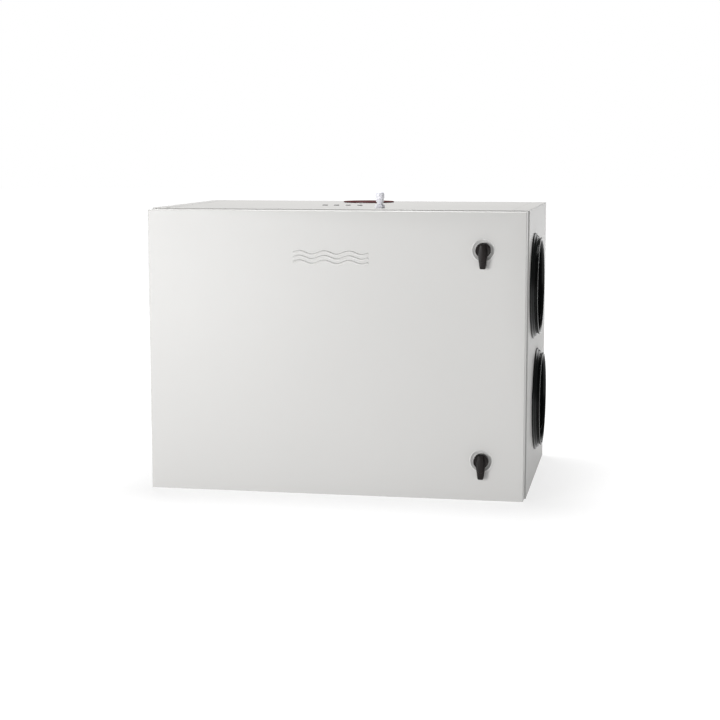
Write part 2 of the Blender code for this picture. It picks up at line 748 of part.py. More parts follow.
def impeller(name, side, start, y, z):
    """A radial impeller: shroud ring with a flared eye, blades, back plate and hub."""
    end = start + FAN_WIDTH
    bore = flat_radius(FAN_SHAFT_R, BEARING_FIT, SMALL_SIDES)
    boss = end - FAN_BOSS_LENGTH
    face = end - FAN_SHEET
    plate = [
        (bore, boss),
        (FAN_BOSS_R, boss),
        (FAN_BOSS_R, face),
        (FAN_R, face),
        (FAN_R, end),
        (bore, end),
    ]
    eye = FAN_EYE_R + FAN_SHEET
    ring_end = start + FAN_FLARE
    shroud = [
        (FAN_EYE_R, start),
        (eye, start),
        (eye, ring_end),
        (FAN_R, ring_end),
        (FAN_R, ring_end + FAN_SHEET),
        (FAN_EYE_R, ring_end + FAN_SHEET),
    ]
    axis, centre = (side, 0, 0), (0, y, z)
    made = turned(name, plate, axis, centre, LARGE_SIDES)
    ring = turned("shroud", shroud, axis, centre, LARGE_SIDES)
    blades = [
        blade(y, z, i, side * (ring_end + FAN_SHEET / 2), side * (end - FAN_SHEET / 2))
        for i in range(FAN_BLADES)
    ]
    return finish(join(made, ring, *blades), DARK_PLASTIC, smooth=True)


def fan(name, side, y, low, high):
    """A plug fan: bulkhead plate with its inlet nozzle, posts, motor and impeller."""
    z = (low + high) / 2
    axis, centre = (side, 0, 0), (0, y, z)
    plate_end = FAN_PLATE_X + FAN_PLATE
    xs = sorted((side * FAN_PLATE_X, side * plate_end))
    plate_low = (xs[0], INSIDE_FRONT, low + GAP)
    plate_high = (xs[1], INNER_BACK - GAP, high - GAP)
    made = box(name + "_fan_plate", plate_low, plate_high)
    mouth = FAN_EYE_R + FAN_FLARE
    start = (side * (FAN_PLATE_X - CUT), y, z)
    cut(made, rod("mouth", mouth, axis, start, 2 * CUT, LARGE_SIDES))
    collar = mouth + 0.003
    collar_start, collar_end = FAN_PLATE_X - 0.001, plate_end + 0.001
    throat = FAN_THROAT_R
    throat_out = throat + 0.0018
    tip = FAN_PLATE_X + FAN_NOZZLE_LENGTH
    nozzle = [
        (mouth - 0.0035, collar_start),
        (collar, collar_start),
        (collar, collar_end),
        (mouth - 0.0015, collar_end),
        (throat + 0.005, tip - 0.012),
        (throat_out, tip - 0.007),
        (throat_out, tip),
        (throat, tip),
        (throat, tip - 0.008),
        (throat + 0.0025, tip - 0.015),
    ]
    wheel_start = FAN_PLATE_X + FAN_WHEEL_SETBACK
    wheel_end = wheel_start + FAN_WIDTH
    carrier = wheel_end + FAN_CARRIER_PLAY
    ring = turned("nozzle", nozzle, axis, centre, LARGE_SIDES)
    posts = []
    corner = FAN_POST_CORNER
    for sy in (-1, 1):
        for sz in (-1, 1):
            foot = (side * (plate_end - 0.001), y + sy * corner, z + sz * corner)
            posts.append(rod("post", FAN_POST_R, axis, foot, carrier - plate_end + 0.002, 8))
    reach = corner + FAN_CARRIER_BORDER
    xs = sorted((side * carrier, side * (carrier + FAN_CARRIER_THICK)))
    shelf = box("carrier", (xs[0], y - reach, z - reach), (xs[1], y + reach, z + reach))
    join(made, ring, *posts, shelf)
    boss = FAN_BOSS_R + 0.002
    cut(made, rod("boss", boss, axis, (side * (carrier - CUT), y, z), 2 * CUT))
    finish(made, GALVANISED)
    back = carrier + FAN_CARRIER_THICK + GAP
    end = back + FAN_MOTOR_LENGTH
    neck = FAN_BOSS_R + 0.0005
    outline = [
        (0, wheel_end - FAN_BOSS_LENGTH),
        (FAN_SHAFT_R, wheel_end - FAN_BOSS_LENGTH),
        (FAN_SHAFT_R, wheel_end + 0.004),
        (neck, wheel_end + 0.004),
        (neck, back),
        (FAN_MOTOR_R, back),
        (FAN_MOTOR_R, end - FAN_MOTOR_BEVEL),
        (FAN_MOTOR_R - FAN_MOTOR_BEVEL, end),
        (0, end),
    ]
    finish(turned(name + "_fan_motor", outline, axis, centre), MOTOR_BLACK, smooth=True)
    wheel = impeller(name + "_impeller", side, wheel_start, y, z)
    pivot(name + "_fan_axis", (side * (wheel_start + FAN_WIDTH / 2), y, z), [wheel])


# ---- Filters, heater and controls --------------------------------------------------------------


def filter_slot(name, side, low, high):
    """A pleated filter cartridge and the open-fronted rail frame that it slides into."""
    middle = side * FILTER_X
    half = FILTER_THICK / 2
    outer = half + FILTER_PLAY + SHEET
    rail_low = (middle - outer, INSIDE_FRONT, low + GAP)
    rail_high = (middle + outer, INNER_BACK - GAP, high - GAP)
    rail = box(name + "_filter_rail", rail_low, rail_high)
    window_low = (middle - 2 * outer, INSIDE_FRONT - CUT, rail_low[2] + RAIL_LIP)
    window_high = (middle + 2 * outer, rail_high[1] - RAIL_LIP, rail_high[2] - RAIL_LIP)
    groove_low = (middle - half - FILTER_PLAY, INSIDE_FRONT - CUT, rail_low[2] + SHEET)
    groove_high = (middle + half + FILTER_PLAY, rail_high[1] - SHEET, rail_high[2] - SHEET)
    cut(rail, box("window", window_low, window_high), box("groove", groove_low, groove_high))
    finish(rail, GALVANISED)
    low_corner = (middle - half, INSIDE_FRONT + 0.002, groove_low[2] + FILTER_PLAY)
    high_corner = (middle + half, groove_high[1] - FILTER_PLAY, groove_high[2] - FILTER_PLAY)
    frame = box(name + "_filter", low_corner, high_corner)
    hole_low = (middle - outer, low_corner[1] + FILTER_BORDER, low_corner[2] + FILTER_BORDER)
    hole_high = (middle + outer, high_corner[1] - FILTER_BORDER, high_corner[2] - FILTER_BORDER)
    cut(frame, box("hole", hole_low, hole_high))
    pleats = pleated_media(middle, hole_low, hole_high)
    tab_x, tab_z = FILTER_TAB_WIDTH / 2, FILTER_TAB_HEIGHT / 2
    level = (low + high) / 2
    tab_low = (middle - tab_x, INSIDE_FRONT + 0.0005, level - tab_z)
    tab_high = (middle + tab_x, low_corner[1] + FILTER_BORDER / 2, level + tab_z)
    tab = box("tab", tab_low, tab_high)
    return finish(join(frame, pleats, tab), FILTER_PAPER)


def pleated_media(middle, low, high):
    """The folded sheet inside a filter frame: a zigzag seen from above, let into the frame."""
    start, end = low[1] - FILTER_MEDIA_LET, high[1] + FILTER_MEDIA_LET
    depth = FILTER_THICK / 2 - FILTER_MEDIA_LET
    steps = 2 * FILTER_PLEATS
    near, far = [], []
    for i in range(steps + 1):
        y = start + (end - start) * i / steps
        x = middle + depth * (1 if i % 2 else -1)
        near.append((x - FILTER_MEDIA_THICK, y))
        far.append((x + FILTER_MEDIA_THICK, y))
    return prism("pleats", near + far[::-1], "Z", low[2] - FILTER_MEDIA_LET, high[2] + FILTER_MEDIA_LET)


def heater():
    """The electric reheater: a sheet frame and one rod bent into level passes."""
    xs = (-HEATER_X - HEATER_THICK / 2, -HEATER_X + HEATER_THICK / 2)
    frame_low = (xs[0], INSIDE_FRONT, INNER_BOTTOM + GAP)
    frame_high = (xs[1], INNER_BACK - GAP, DECK_LOW - GAP)
    frame = box("heater_frame", frame_low, frame_high)
    hole_low = (xs[0] - CUT, frame_low[1] + HEATER_BORDER, frame_low[2] + HEATER_BORDER)
    hole_high = (xs[1] + CUT, frame_high[1] - HEATER_BORDER, frame_high[2] - HEATER_BORDER)
    channel_low = [value + SHEET for value in frame_low]
    channel_high = [value - SHEET for value in frame_high]
    cut(frame, box("hole", hole_low, hole_high), box("channel", channel_low, channel_high))
    finish(frame, GALVANISED)
    curve = bpy.data.curves.new("heater_rod", "CURVE")
    curve.dimensions = "3D"
    curve.bevel_depth = HEATER_ROD_R
    curve.bevel_resolution = 2
    curve.use_fill_caps = True
    points = heater_route(hole_low, hole_high)
    spline = curve.splines.new("POLY")
    spline.points.add(len(points) - 1)
    for slot, place in zip(spline.points, points):
        slot.co = (*place, 1)
    made = bpy.data.objects.new("heater_rod", curve)
    bpy.context.scene.collection.objects.link(made)
    finish(made, STEEL)


def heater_route(low, high):
    """The rod's centre line: level passes joined by half circles, between two corners."""
    left, right = low[1] + HEATER_ROD_MARGIN, high[1] - HEATER_ROD_MARGIN
    bottom, top = low[2] + HEATER_ROD_MARGIN, high[2] - HEATER_ROD_MARGIN
    bend = (top - bottom) / (HEATER_PASSES - 1) / 2
    points = [(-HEATER_X, left, bottom)]
    for row in range(HEATER_PASSES - 1):
        towards = 1 if row % 2 == 0 else -1
        turn = right - bend if row % 2 == 0 else left + bend
        middle = bottom + bend * (2 * row + 1)
        for i in range(HEATER_BEND_STEPS + 1):
            angle = -pi / 2 + pi * i / HEATER_BEND_STEPS
            points.append((-HEATER_X, turn + towards * bend * cos(angle), middle + bend * sin(angle)))
    points.append((-HEATER_X, left if HEATER_PASSES % 2 == 0 else right, top))
    return points


def controls():
    """The controller over the rotor: an open tray, its front cover and the circuit board."""
    low = (-HOUSING_X + SHEET + GAP, INSIDE_FRONT + SHEET + GAP, TRAY_LOW)
    high = (HOUSING_X - SHEET - GAP, TRAY_BACK, TRAY_HIGH)
    tray = box("controller_tray", low, high)
    inner_low = (low[0] + SHEET, low[1] - CUT, low[2] + SHEET)
    inner_high = (high[0] - SHEET, high[1] - SHEET, high[2] + CUT)
    finish(cut(tray, box("inside", inner_low, inner_high)), GALVANISED)
    cover_low, cover_high = (low[0], INSIDE_FRONT, low[2]), (high[0], INSIDE_FRONT + SHEET, high[2])
    cover = box("controller_cover", cover_low, cover_high)
    reach = COVER_PULL_WIDTH / 2
    level = (low[2] + high[2]) / 2
    pull_low = (-reach, INSIDE_FRONT - COVER_PULL_OUT, level - SHEET / 2)
    pull_high = (reach, INSIDE_FRONT + SHEET / 2, level + SHEET / 2)
    finish(join(cover, box("pull", pull_low, pull_high)), GALVANISED)
    floor = low[2] + SHEET + GAP
    plate_low = (low[0] + BOARD_MARGIN, low[1] + BOARD_MARGIN, floor + STANDOFF)
    plate_high = (high[0] - BOARD_MARGIN, high[1] - BOARD_MARGIN, floor + STANDOFF + BOARD_THICK)
    plate = box("controller_board", plate_low, plate_high)
    span = [plate_high[i] - plate_low[i] for i in range(2)]
    room = high[2] - plate_high[2]
    feet = []
    for sx in (0.05, 0.95):
        for sy in (0.04, 0.96):
            foot = (plate_low[0] + span[0] * sx, plate_low[1] + span[1] * sy, floor)
            feet.append(rod("foot", STANDOFF_R, (0, 0, 1), foot, STANDOFF + BOARD_THICK / 2, 8))
    parts = [
        component(plate_low, span, plate_high[2], room, *place)
        for place in (
            (0.10, 0.06, 0.90, 0.16, 0.30),
            (0.12, 0.24, 0.48, 0.44, 0.75),
            (0.60, 0.26, 0.84, 0.36, 0.55),
            (0.60, 0.42, 0.84, 0.52, 0.55),
            (0.20, 0.56, 0.44, 0.66, 0.12),
            (0.58, 0.62, 0.86, 0.84, 0.40),
            (0.14, 0.76, 0.46, 0.90, 0.35),
        )
    ]
    finish(join(plate, *feet, *parts), BOARD_GREEN)


def component(corner, span, top, room, x0, y0, x1, y1, tall):
    """One block on the circuit board, placed and sized by shares of the board and of the room above."""
    low = (corner[0] + span[0] * x0, corner[1] + span[1] * y0, top - BOARD_THICK / 2)
    high = (corner[0] + span[0] * x1, corner[1] + span[1] * y1, top + room * tall)
    return box("component", low, high)


# ---- Fittings on the top -----------------------------------------------------------------------


def hood_connection():
    """The collar of the hood duct, sunk in the top, and the red cap that plugs it."""
    up = (0, 0, 1)
    bottom = -WALL - TRAY_ROOF_PLAY
    flange = HOOD_CAP_R - HOOD_FLANGE_INSET
    flange_top = GAP + HOOD_FLANGE_THICK
    outline = [
        (HOOD_R, bottom),
        (HOOD_R + HOOD_WALL, bottom),
        (HOOD_R + HOOD_WALL, GAP),
        (flange, GAP),
        (flange, flange_top),
        (HOOD_R, flange_top),
    ]
    place = (HOOD_X, HOOD_Y, HEIGHT)
    collar = turned("hood_collar", outline, up, place, LARGE_SIDES)
    finish(collar, GALVANISED, smooth=True)
    plug = HOOD_R - 3 * GAP
    inside = plug - HOOD_PLUG_WALL
    seat = flange_top + GAP
    roof = flange_top + HOOD_CAP_THICK
    outline = [
        (0, flange_top),
        (inside, flange_top),
        (inside, -HOOD_PLUG),
        (plug, -HOOD_PLUG),
        (plug, seat),
        (HOOD_CAP_R, seat),
        (HOOD_CAP_R, roof - HOOD_CAP_EDGE),
        (HOOD_CAP_R - HOOD_CAP_EDGE, roof),
        (0, roof),
    ]
    cap = finish(turned("hood_cap", outline, up, place, LARGE_SIDES), RED_PLASTIC, smooth=True)
    pivot("hood_cap_axis", place, [cap])


def grommets():
    """Four rubber cable grommets moulded on one strip, which sits under the top sheet."""
    low, high = strip_outline(GAP)
    under = HEIGHT - SHEET - GAP
    strip = box("grommet_strip", (*low, under - GROMMET_STRIP_THICK), (*high, under))
    nipples = []
    for x in grommet_places():
        outline = [
            (0, under - 0.001),
            (GROMMET_R, under - 0.001),
            (GROMMET_R, HEIGHT + GROMMET_HEIGHT * 0.55),
            (GROMMET_R * 0.75, HEIGHT + GROMMET_HEIGHT),
            (0, HEIGHT + GROMMET_HEIGHT),
        ]
        nipples.append(turned("nipple", outline, (0, 0, 1), (x, GROMMET_Y, 0)))
    finish(join(strip, *nipples), GREY_RUBBER, smooth=True)


def cable_gland():
    """A plastic cable gland: threaded body with a hexagon, and the dome nut screwed on it."""
    up = (0, 0, 1)
    place = (GLAND_X, GLAND_Y, HEIGHT)
    hexagon = (GLAND_THREAD_R + GLAND_HEX_BORDER) / cos(pi / 6)
    start = (GLAND_X, GLAND_Y, HEIGHT + GAP)
    body = rod("gland_body", hexagon, up, start, GLAND_HEX_HEIGHT - GAP, 6)
    neck = GLAND_THREAD_R - GLAND_THREAD_DEPTH
    roof = GLAND_HEIGHT - GLAND_ROOF
    neck_top = roof - 0.002
    thread = [
        (0, -GLAND_THREAD_LENGTH),
        (GLAND_THREAD_R, -GLAND_THREAD_LENGTH),
        (GLAND_THREAD_R, GLAND_HEX_HEIGHT / 2),
        (neck, GLAND_HEX_HEIGHT / 2),
        (neck, neck_top),
        (0, neck_top),
    ]
    join(body, turned("thread", thread, up, place))
    cut(body, rod("bore", GLAND_BORE_R, up, (GLAND_X, GLAND_Y, HEIGHT - WALL), WALL + GLAND_HEIGHT))
    finish(body, LIGHT_PLASTIC, smooth=True)
    collar = GLAND_NECK - GLAND_COLLAR
    seat = flat_radius(neck, GAP, SMALL_SIDES)
    collar_r = GLAND_THREAD_R + GLAND_NUT_WALL
    outline = [
        (seat, collar),
        (collar_r, collar),
        (collar_r, GLAND_NECK),
        (GLAND_DOME_R, GLAND_NECK + 0.002),
        (GLAND_DOME_R, GLAND_HEIGHT - 0.007),
        (GLAND_DOME_R - 0.0015, GLAND_HEIGHT - 0.003),
        (GLAND_DOME_R - 0.005, GLAND_HEIGHT),
        (GLAND_BORE_R, GLAND_HEIGHT),
        (GLAND_BORE_R, roof),
        (seat, roof),
    ]
    finish(turned("gland_nut", outline, up, place), LIGHT_PLASTIC, smooth=True)


# ---- Door --------------------------------------------------------------------------------------


def latch_heights():
    return {"upper": UPPER_LATCH_Z, "lower": LOWER_LATCH_Z}


def door():
    """The insulated door: outer skin, insulation, inner liner and the seal on its back."""
    x = SIDE - DOOR_INSET
    bottom, top = DOOR_INSET, HEIGHT - DOOR_INSET
    skin = box("door_skin", (-x, FRONT, bottom), (x, DOOR_BACK, top), BEND, (0, 1, 0))
    thin = DOOR_SHEET
    hollow_low = (-x + thin, FRONT + thin, bottom + thin)
    hollow_high = (x - thin, DOOR_BACK + CUT, top - thin)
    cut(skin, box("hollow", hollow_low, hollow_high))
    edge = thin + GAP
    core_low = (-x + edge, FRONT + edge, bottom + edge)
    core_high = (x - edge, DOOR_BACK - edge, top - edge)
    core = box("door_insulation", core_low, core_high)
    liner_low, liner_high = (-x + edge, DOOR_BACK - thin, bottom + edge), (x - edge, DOOR_BACK, top - edge)
    liner = box("door_liner", liner_low, liner_high)
    holes = {skin: LATCH_DISH_R, core: LATCH_DISH_R, liner: LATCH_BARREL_R}
    for piece, radius in holes.items():
        bore = flat_radius(radius, GAP, LARGE_SIDES)
        for z in latch_heights().values():
            start = (LATCH_X, FRONT - CUT, z)
            cut(piece, rod("latch_hole", bore, (0, 1, 0), start, DOOR_THICK + 2 * CUT, LARGE_SIDES))
    middle = WALL / 2
    outer, inner = SIDE - middle + GASKET_WIDTH / 2, SIDE - middle - GASKET_WIDTH / 2
    low, high = middle - GASKET_WIDTH / 2, HEIGHT - middle + GASKET_WIDTH / 2
    gasket = box("door_gasket", (-outer, DOOR_BACK + GAP, low), (outer, CASE_FRONT - GAP, high))
    window_low = (-inner, DOOR_BACK - CUT, low + GASKET_WIDTH)
    window_high = (inner, CASE_FRONT + CUT, high - GASKET_WIDTH)
    cut(gasket, box("window", window_low, window_high))
    finish(skin, PAINT)
    finish(core, FOAM)
    finish(liner, LINING)
    finish(gasket, RUBBER)
    return [skin, core, liner, gasket]


def latch_dish(name, z):
    """The sunk dish round a latch, with the barrel that guides its shaft through the door."""
    bore = flat_radius(LATCH_SHAFT_R, BEARING_FIT, SMALL_SIDES)
    floor = LATCH_DISH_DEPTH
    rim = 0.0004
    outline = [
        (bore, floor),
        (LATCH_DISH_R - LATCH_DISH_SLOPE, floor),
        (LATCH_DISH_R - SHEET, rim),
        (LATCH_DISH_R, rim),
        (LATCH_DISH_R, floor + SHEET),
        (LATCH_BARREL_R, floor + SHEET),
        (LATCH_BARREL_R, DOOR_THICK),
        (bore, DOOR_THICK),
    ]
    made = turned(name, outline, (0, 1, 0), (LATCH_X, FRONT, z), LARGE_SIDES // 2)
    return finish(made, PAINT, smooth=True)


def lever_outline(z):
    """The latch lever seen from the front: it narrows from the head to a flat tip below."""
    wide, tip = LATCH_LEVER_WIDE / 2, LATCH_LEVER_TIP / 2
    corner = 0.002
    waist = z - LATCH_HEAD_R * 0.55
    top = z + LATCH_HEAD_R * 0.4
    end = z - LATCH_LEVER
    right = [
        (LATCH_X + tip - corner, end),
        (LATCH_X + tip, end + corner),
        (LATCH_X + wide, waist),
        (LATCH_X + wide * 0.6, top),
    ]
    return right + [(2 * LATCH_X - x, height) for x, height in right[::-1]]


def latch_knob(name, z):
    """Round head, lever and the shaft that carries the cam."""
    seat = LATCH_DISH_DEPTH - 0.0015
    shaft_end = CAM_FRONT + CAM_THICK - FRONT
    outline = [
        (0, -LATCH_HEAD_OUT),
        (LATCH_HEAD_R - LATCH_HEAD_BEVEL, -LATCH_HEAD_OUT),
        (LATCH_HEAD_R, -LATCH_HEAD_OUT + LATCH_HEAD_BEVEL),
        (LATCH_HEAD_R, seat),
        (LATCH_SHAFT_R, seat),
        (LATCH_SHAFT_R, shaft_end),
        (0, shaft_end),
    ]
    knob = turned(name, outline, (0, 1, 0), (LATCH_X, FRONT, z))
    lever = prism("lever", lever_outline(z), "Y", FRONT - LATCH_HEAD_OUT - 0.0015, FRONT - 0.003)
    half = LATCH_BAR_WIDTH / 2
    foot, top = z - LATCH_LEVER * 0.62, z + LATCH_HEAD_R * 0.82
    right = [(LATCH_X + half * 0.62, foot), (LATCH_X + half, z), (LATCH_X + half * 0.7, top)]
    bar_outline = right + [(2 * LATCH_X - x, height) for x, height in right[::-1]]
    bar = prism("bar", bar_outline, "Y", FRONT - LATCH_BAR_OUT, FRONT - LATCH_HEAD_OUT + 0.004)
    return finish(join(knob, lever, bar), DARK_PLASTIC, smooth=True)


def latch_cam(name, z):
    """The tongue behind the door. At rest it hangs beside the keeper lip of the right wall."""
    half = CAM_WIDTH / 2
    corner = CAM_WIDTH / 5
    bore = flat_radius(LATCH_SHAFT_R, GAP, SMALL_SIDES)
    end = z - CAM_REACH
    right = [
        (LATCH_X + half - corner, end),
        (LATCH_X + half, end + corner),
        (LATCH_X + half, z + half - corner),
        (LATCH_X + half - corner, z + half),
    ]
    outline = right + [(2 * LATCH_X - x, height) for x, height in right[::-1]]
    made = prism(name, outline, "Y", CAM_FRONT, CAM_FRONT + CAM_THICK)
    start = (LATCH_X, CAM_FRONT - CUT, z)
    return finish(cut(made, rod("bore", bore, (0, 1, 0), start, 3 * CUT)), STEEL)


def hinge(name, z):
    """A lift-off hinge: the wall leaf carries the pin, the door leaf hangs on it."""
    up = (0, 0, 1)
    half = HINGE_LENGTH / 2
    low = z - half
    barrel = rod(name + "_wall_leaf", HINGE_BARREL_R, up, (HINGE_X, HINGE_Y, low), half - GAP)
    pin = rod("pin", HINGE_PIN_R, up, (HINGE_X, HINGE_Y, low + half / 2), half * 1.3)
    face = -SIDE - GAP
    leaf = box("leaf", (face - HINGE_LEAF, HINGE_Y, low), (face, HINGE_Y + HINGE_REACH, z - GAP))
    wall_leaf = finish(join(barrel, pin, leaf), STEEL, smooth=True)
    knuckle = rod(name + "_door_leaf", HINGE_BARREL_R, up, (HINGE_X, HINGE_Y, z), half)
    face = -SIDE + DOOR_INSET - GAP
    start = HINGE_Y - HINGE_BARREL_R
    leaf = box("leaf", (face - HINGE_LEAF, HINGE_Y - HINGE_REACH, z), (face, start + 0.002, z + half))
    web = box("web", (HINGE_X, start, z), (face - GAP, start + 0.002, z + half))
    door_leaf = join(knuckle, leaf, web)
    bore = flat_radius(HINGE_PIN_R, 0.0001, SMALL_SIDES)
    cut(door_leaf, rod("bore", bore, up, (HINGE_X, HINGE_Y, z - CUT), half * 1.6 + CUT))
    return finish(door_leaf, STEEL, smooth=True)


# ---- Assembly ----------------------------------------------------------------------------------


def build():
    clear_scene()
    side_wall("left", -1)
    side_wall("right", 1)
    level_walls()
    back_wall()
    decks()
    for side_name, side in (("left", -1), ("right", 1)):
        spigot("duct_" + side_name + "_upper", side, DUCT_UPPER_Y, DUCT_UPPER_Z)
        spigot("duct_" + side_name + "_lower", side, DUCT_LOWER_Y, DUCT_LOWER_Z)
    rotor_housing()
    rotor()
    rotor_drive()
    fan("exhaust", 1, WHEEL_Y, DECK_HIGH, INNER_TOP)
    fan("supply", -1, WHEEL_Y, INNER_BOTTOM, DECK_LOW)
    filter_slot("extract", -1, DECK_HIGH, INNER_TOP)
    filter_slot("outdoor", 1, INNER_BOTTOM, DECK_LOW)
    heater()
    controls()
    hood_connection()
    grommets()
    cable_gland()
    door_pieces = door()
    hinge_heights = {"lower": HINGE_MARGIN, "upper": HEIGHT - HINGE_MARGIN}
    door_pieces += [hinge(name, z) for name, z in hinge_heights.items()]
    door_pieces += [latch_dish(name + "_latch_dish", z) for name, z in latch_heights().items()]
    door_axis = pivot("door_axis", (HINGE_X, HINGE_Y, HEIGHT / 2), door_pieces)
    for name, z in latch_heights().items():
        moving = [latch_knob(name + "_latch_knob", z), latch_cam(name + "_latch_cam", z)]
        pivot(name + "_latch_axis", (LATCH_X, FRONT, z), moving, door_axis)


build()
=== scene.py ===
"""Heat recovery unit: the finished look of its cabinet, its fittings and everything behind the door.

Metres, +Z up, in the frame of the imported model. The door faces -Y and the air ducts leave along X.
"""

import json
from math import atan2, cos, pi, radians, sin, sqrt

import bmesh
import bpy
from mathutils import Matrix, Vector

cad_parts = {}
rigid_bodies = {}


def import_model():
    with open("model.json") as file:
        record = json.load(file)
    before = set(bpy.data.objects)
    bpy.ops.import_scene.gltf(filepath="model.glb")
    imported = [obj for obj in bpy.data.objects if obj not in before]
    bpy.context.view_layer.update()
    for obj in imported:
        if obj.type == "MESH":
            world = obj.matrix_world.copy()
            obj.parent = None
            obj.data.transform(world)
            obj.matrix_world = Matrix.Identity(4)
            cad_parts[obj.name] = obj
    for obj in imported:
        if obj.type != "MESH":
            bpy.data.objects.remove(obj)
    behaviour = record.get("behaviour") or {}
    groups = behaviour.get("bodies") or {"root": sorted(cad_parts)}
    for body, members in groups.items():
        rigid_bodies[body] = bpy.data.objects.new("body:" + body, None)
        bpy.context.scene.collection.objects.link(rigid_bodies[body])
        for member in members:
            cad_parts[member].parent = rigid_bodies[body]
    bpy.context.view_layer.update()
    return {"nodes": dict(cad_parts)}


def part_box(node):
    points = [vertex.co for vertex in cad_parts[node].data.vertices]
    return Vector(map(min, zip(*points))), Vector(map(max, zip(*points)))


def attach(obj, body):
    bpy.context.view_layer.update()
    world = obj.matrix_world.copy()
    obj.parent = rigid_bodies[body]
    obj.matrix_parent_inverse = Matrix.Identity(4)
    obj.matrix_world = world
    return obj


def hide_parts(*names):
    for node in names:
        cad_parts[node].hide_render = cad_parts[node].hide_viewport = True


for thing in list(bpy.data.objects):
    bpy.data.objects.remove(thing)

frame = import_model()

# ---- Sizes -------------------------------------------------------------------------------------

# Thickness of the painted sheet, the rounding of its folds and the gap between pieces that meet.
SHEET = 0.0012
PAINT_BEND = 0.0022
GAP = 0.0003
DISH_RADIUS = 0.0289

# Sides of a turned form, from the largest forms to the smallest.
FINE, SMOOTH, MEDIUM, SMALL, TINY = 128, 96, 64, 32, 20

ALONG, INWARDS, UPWARDS = (1, 0, 0), (0, 1, 0), (0, 0, 1)
SIDES = (("left", -1), ("right", 1))

# Lamps: place, the point each faces, size and watts.
LAMPS = {
    "key": ((-3.2, -4.9, 0.8), (0, -0.3, 0.3), (2.4, 2.4), 228),
    "rear": ((0.95, 1.15, 0.75), (0.49, 0.2, 0.4), (0.5, 0.9), 2.2),
    "ceiling": ((-0.2, 0.45, 3.6), (0, 0.1, 0.7), (1.4, 1.4), 140),
}
# The camera stands in front, a little to the right and above, with a long lens.
CAMERA_PLACE = (0.8004, -4.2377, 0.8921)
CAMERA_TILT = (radians(82.32), 0.0, radians(10.58))
CAMERA_LENS = 79.12
# Light of the room, and the glow of the floor under the unit, which grows with distance.
ROOM_LIGHT = 0.14
FLOOR_GLOW = 0.74
FLOOR_RADIUS = 30
GLOW_REACH = 4.0

# The ornament on the door: centre across and up, then its bars.
RELIEF_CENTRE = (-0.007, 0.6135)
RELIEF_LENGTH = 0.193
RELIEF_BAR = 0.0052
RELIEF_STEP = 0.0118
RELIEF_WAVE = 0.0042
RELIEF_HEIGHT = 0.0020

# ---- Nodes and sums ----------------------------------------------------------------------------


class Value:
    """A node's output that takes part in sums, so that node maths is written as Python."""

    def __init__(self, net, socket):
        self.net = net
        self.socket = socket

    def maths(self, operation, *values):
        return self.net.node("ShaderNodeMath", {"operation": operation}, dict(enumerate(values)))

    def __add__(self, other):
        return self.maths("ADD", self, other)

    def __radd__(self, other):
        return self.maths("ADD", other, self)

    def __sub__(self, other):
        return self.maths("SUBTRACT", self, other)

    def __rsub__(self, other):
        return self.maths("SUBTRACT", other, self)

    def __mul__(self, other):
        return self.maths("MULTIPLY", self, other)

    def __rmul__(self, other):
        return self.maths("MULTIPLY", other, self)

    def __truediv__(self, other):
        return self.maths("DIVIDE", self, other)

    def __mod__(self, step):
        return self.maths("FLOORED_MODULO", self, step)


class Net:
    """A node tree and its one way of making a node."""

    def __init__(self, tree):
        self.tree = tree

    def node(self, kind, settings=None, inputs=None, output=0):
        made = self.tree.nodes.new(kind)
        for name, value in (settings or {}).items():
            if name == "stops":
                ramp = made.color_ramp.elements
                while len(ramp) < len(value):
                    ramp.new(1)
                for stop, (place, shade) in zip(ramp, value):
                    stop.position = place
                    stop.color = (shade, shade, shade, 1) if isinstance(shade, float) else (*shade, 1)
            else:
                setattr(made, name, value)
        for name, value in (inputs or {}).items():
            self.feed(made.inputs[name], value)
        return Value(self, made.outputs[output])

    def feed(self, socket, value):
        if isinstance(value, Value):
            self.tree.links.new(value.socket, socket)
        elif socket.type == "RGBA" and len(value) == 3:
            socket.default_value = (*value, 1)
        else:
            socket.default_value = value


class Finish(Net):
    """A material on one Principled shader, with patterns measured in metres on the piece itself."""

    def __init__(self, name, colour, roughness, metallic=0.0):
        self.material = bpy.data.materials.new(name)
        self.material.use_nodes = True
        super().__init__(self.material.node_tree)
        self.shader = self.tree.nodes["Principled BSDF"]
        self.place = self.node("ShaderNodeTexCoord", output="Object")
        self.set({"Base Color": colour, "Roughness": roughness, "Metallic": metallic})

    def set(self, inputs):
        for name, value in inputs.items():
            self.feed(self.shader.inputs[name], value)

    def stretched(self, scale):
        return self.node("ShaderNodeMapping", inputs={"Vector": self.place, "Scale": scale})

    def noise(self, scale, detail=2.0, stretch=None):
        place = self.stretched(stretch) if stretch else self.place
        return self.node("ShaderNodeTexNoise", inputs={"Vector": place, "Scale": scale, "Detail": detail})

    def cells(self, scale, output="Color"):
        inputs = {"Vector": self.place, "Scale": scale}
        return self.node("ShaderNodeTexVoronoi", inputs=inputs, output=output)

    def ramp(self, value, *stops):
        return self.node("ShaderNodeValToRGB", {"stops": stops}, {"Fac": value})

    def mix(self, factor, one, two):
        made = self.tree.nodes.new("ShaderNodeMix")
        made.data_type = "RGBA"
        for place, value in ((0, factor), (6, one), (7, two)):
            self.feed(made.inputs[place], value)
        return Value(self, made.outputs[2])

    def bump(self, height, depth, strength=1.0):
        inputs = {"Height": height, "Distance": depth, "Strength": strength}
        self.set({"Normal": self.node("ShaderNodeBump", inputs=inputs)})


# ---- Finishes ----------------------------------------------------------------------------------


def tinted(colour, share):
    return tuple(min(1.0, c * share) for c in colour)


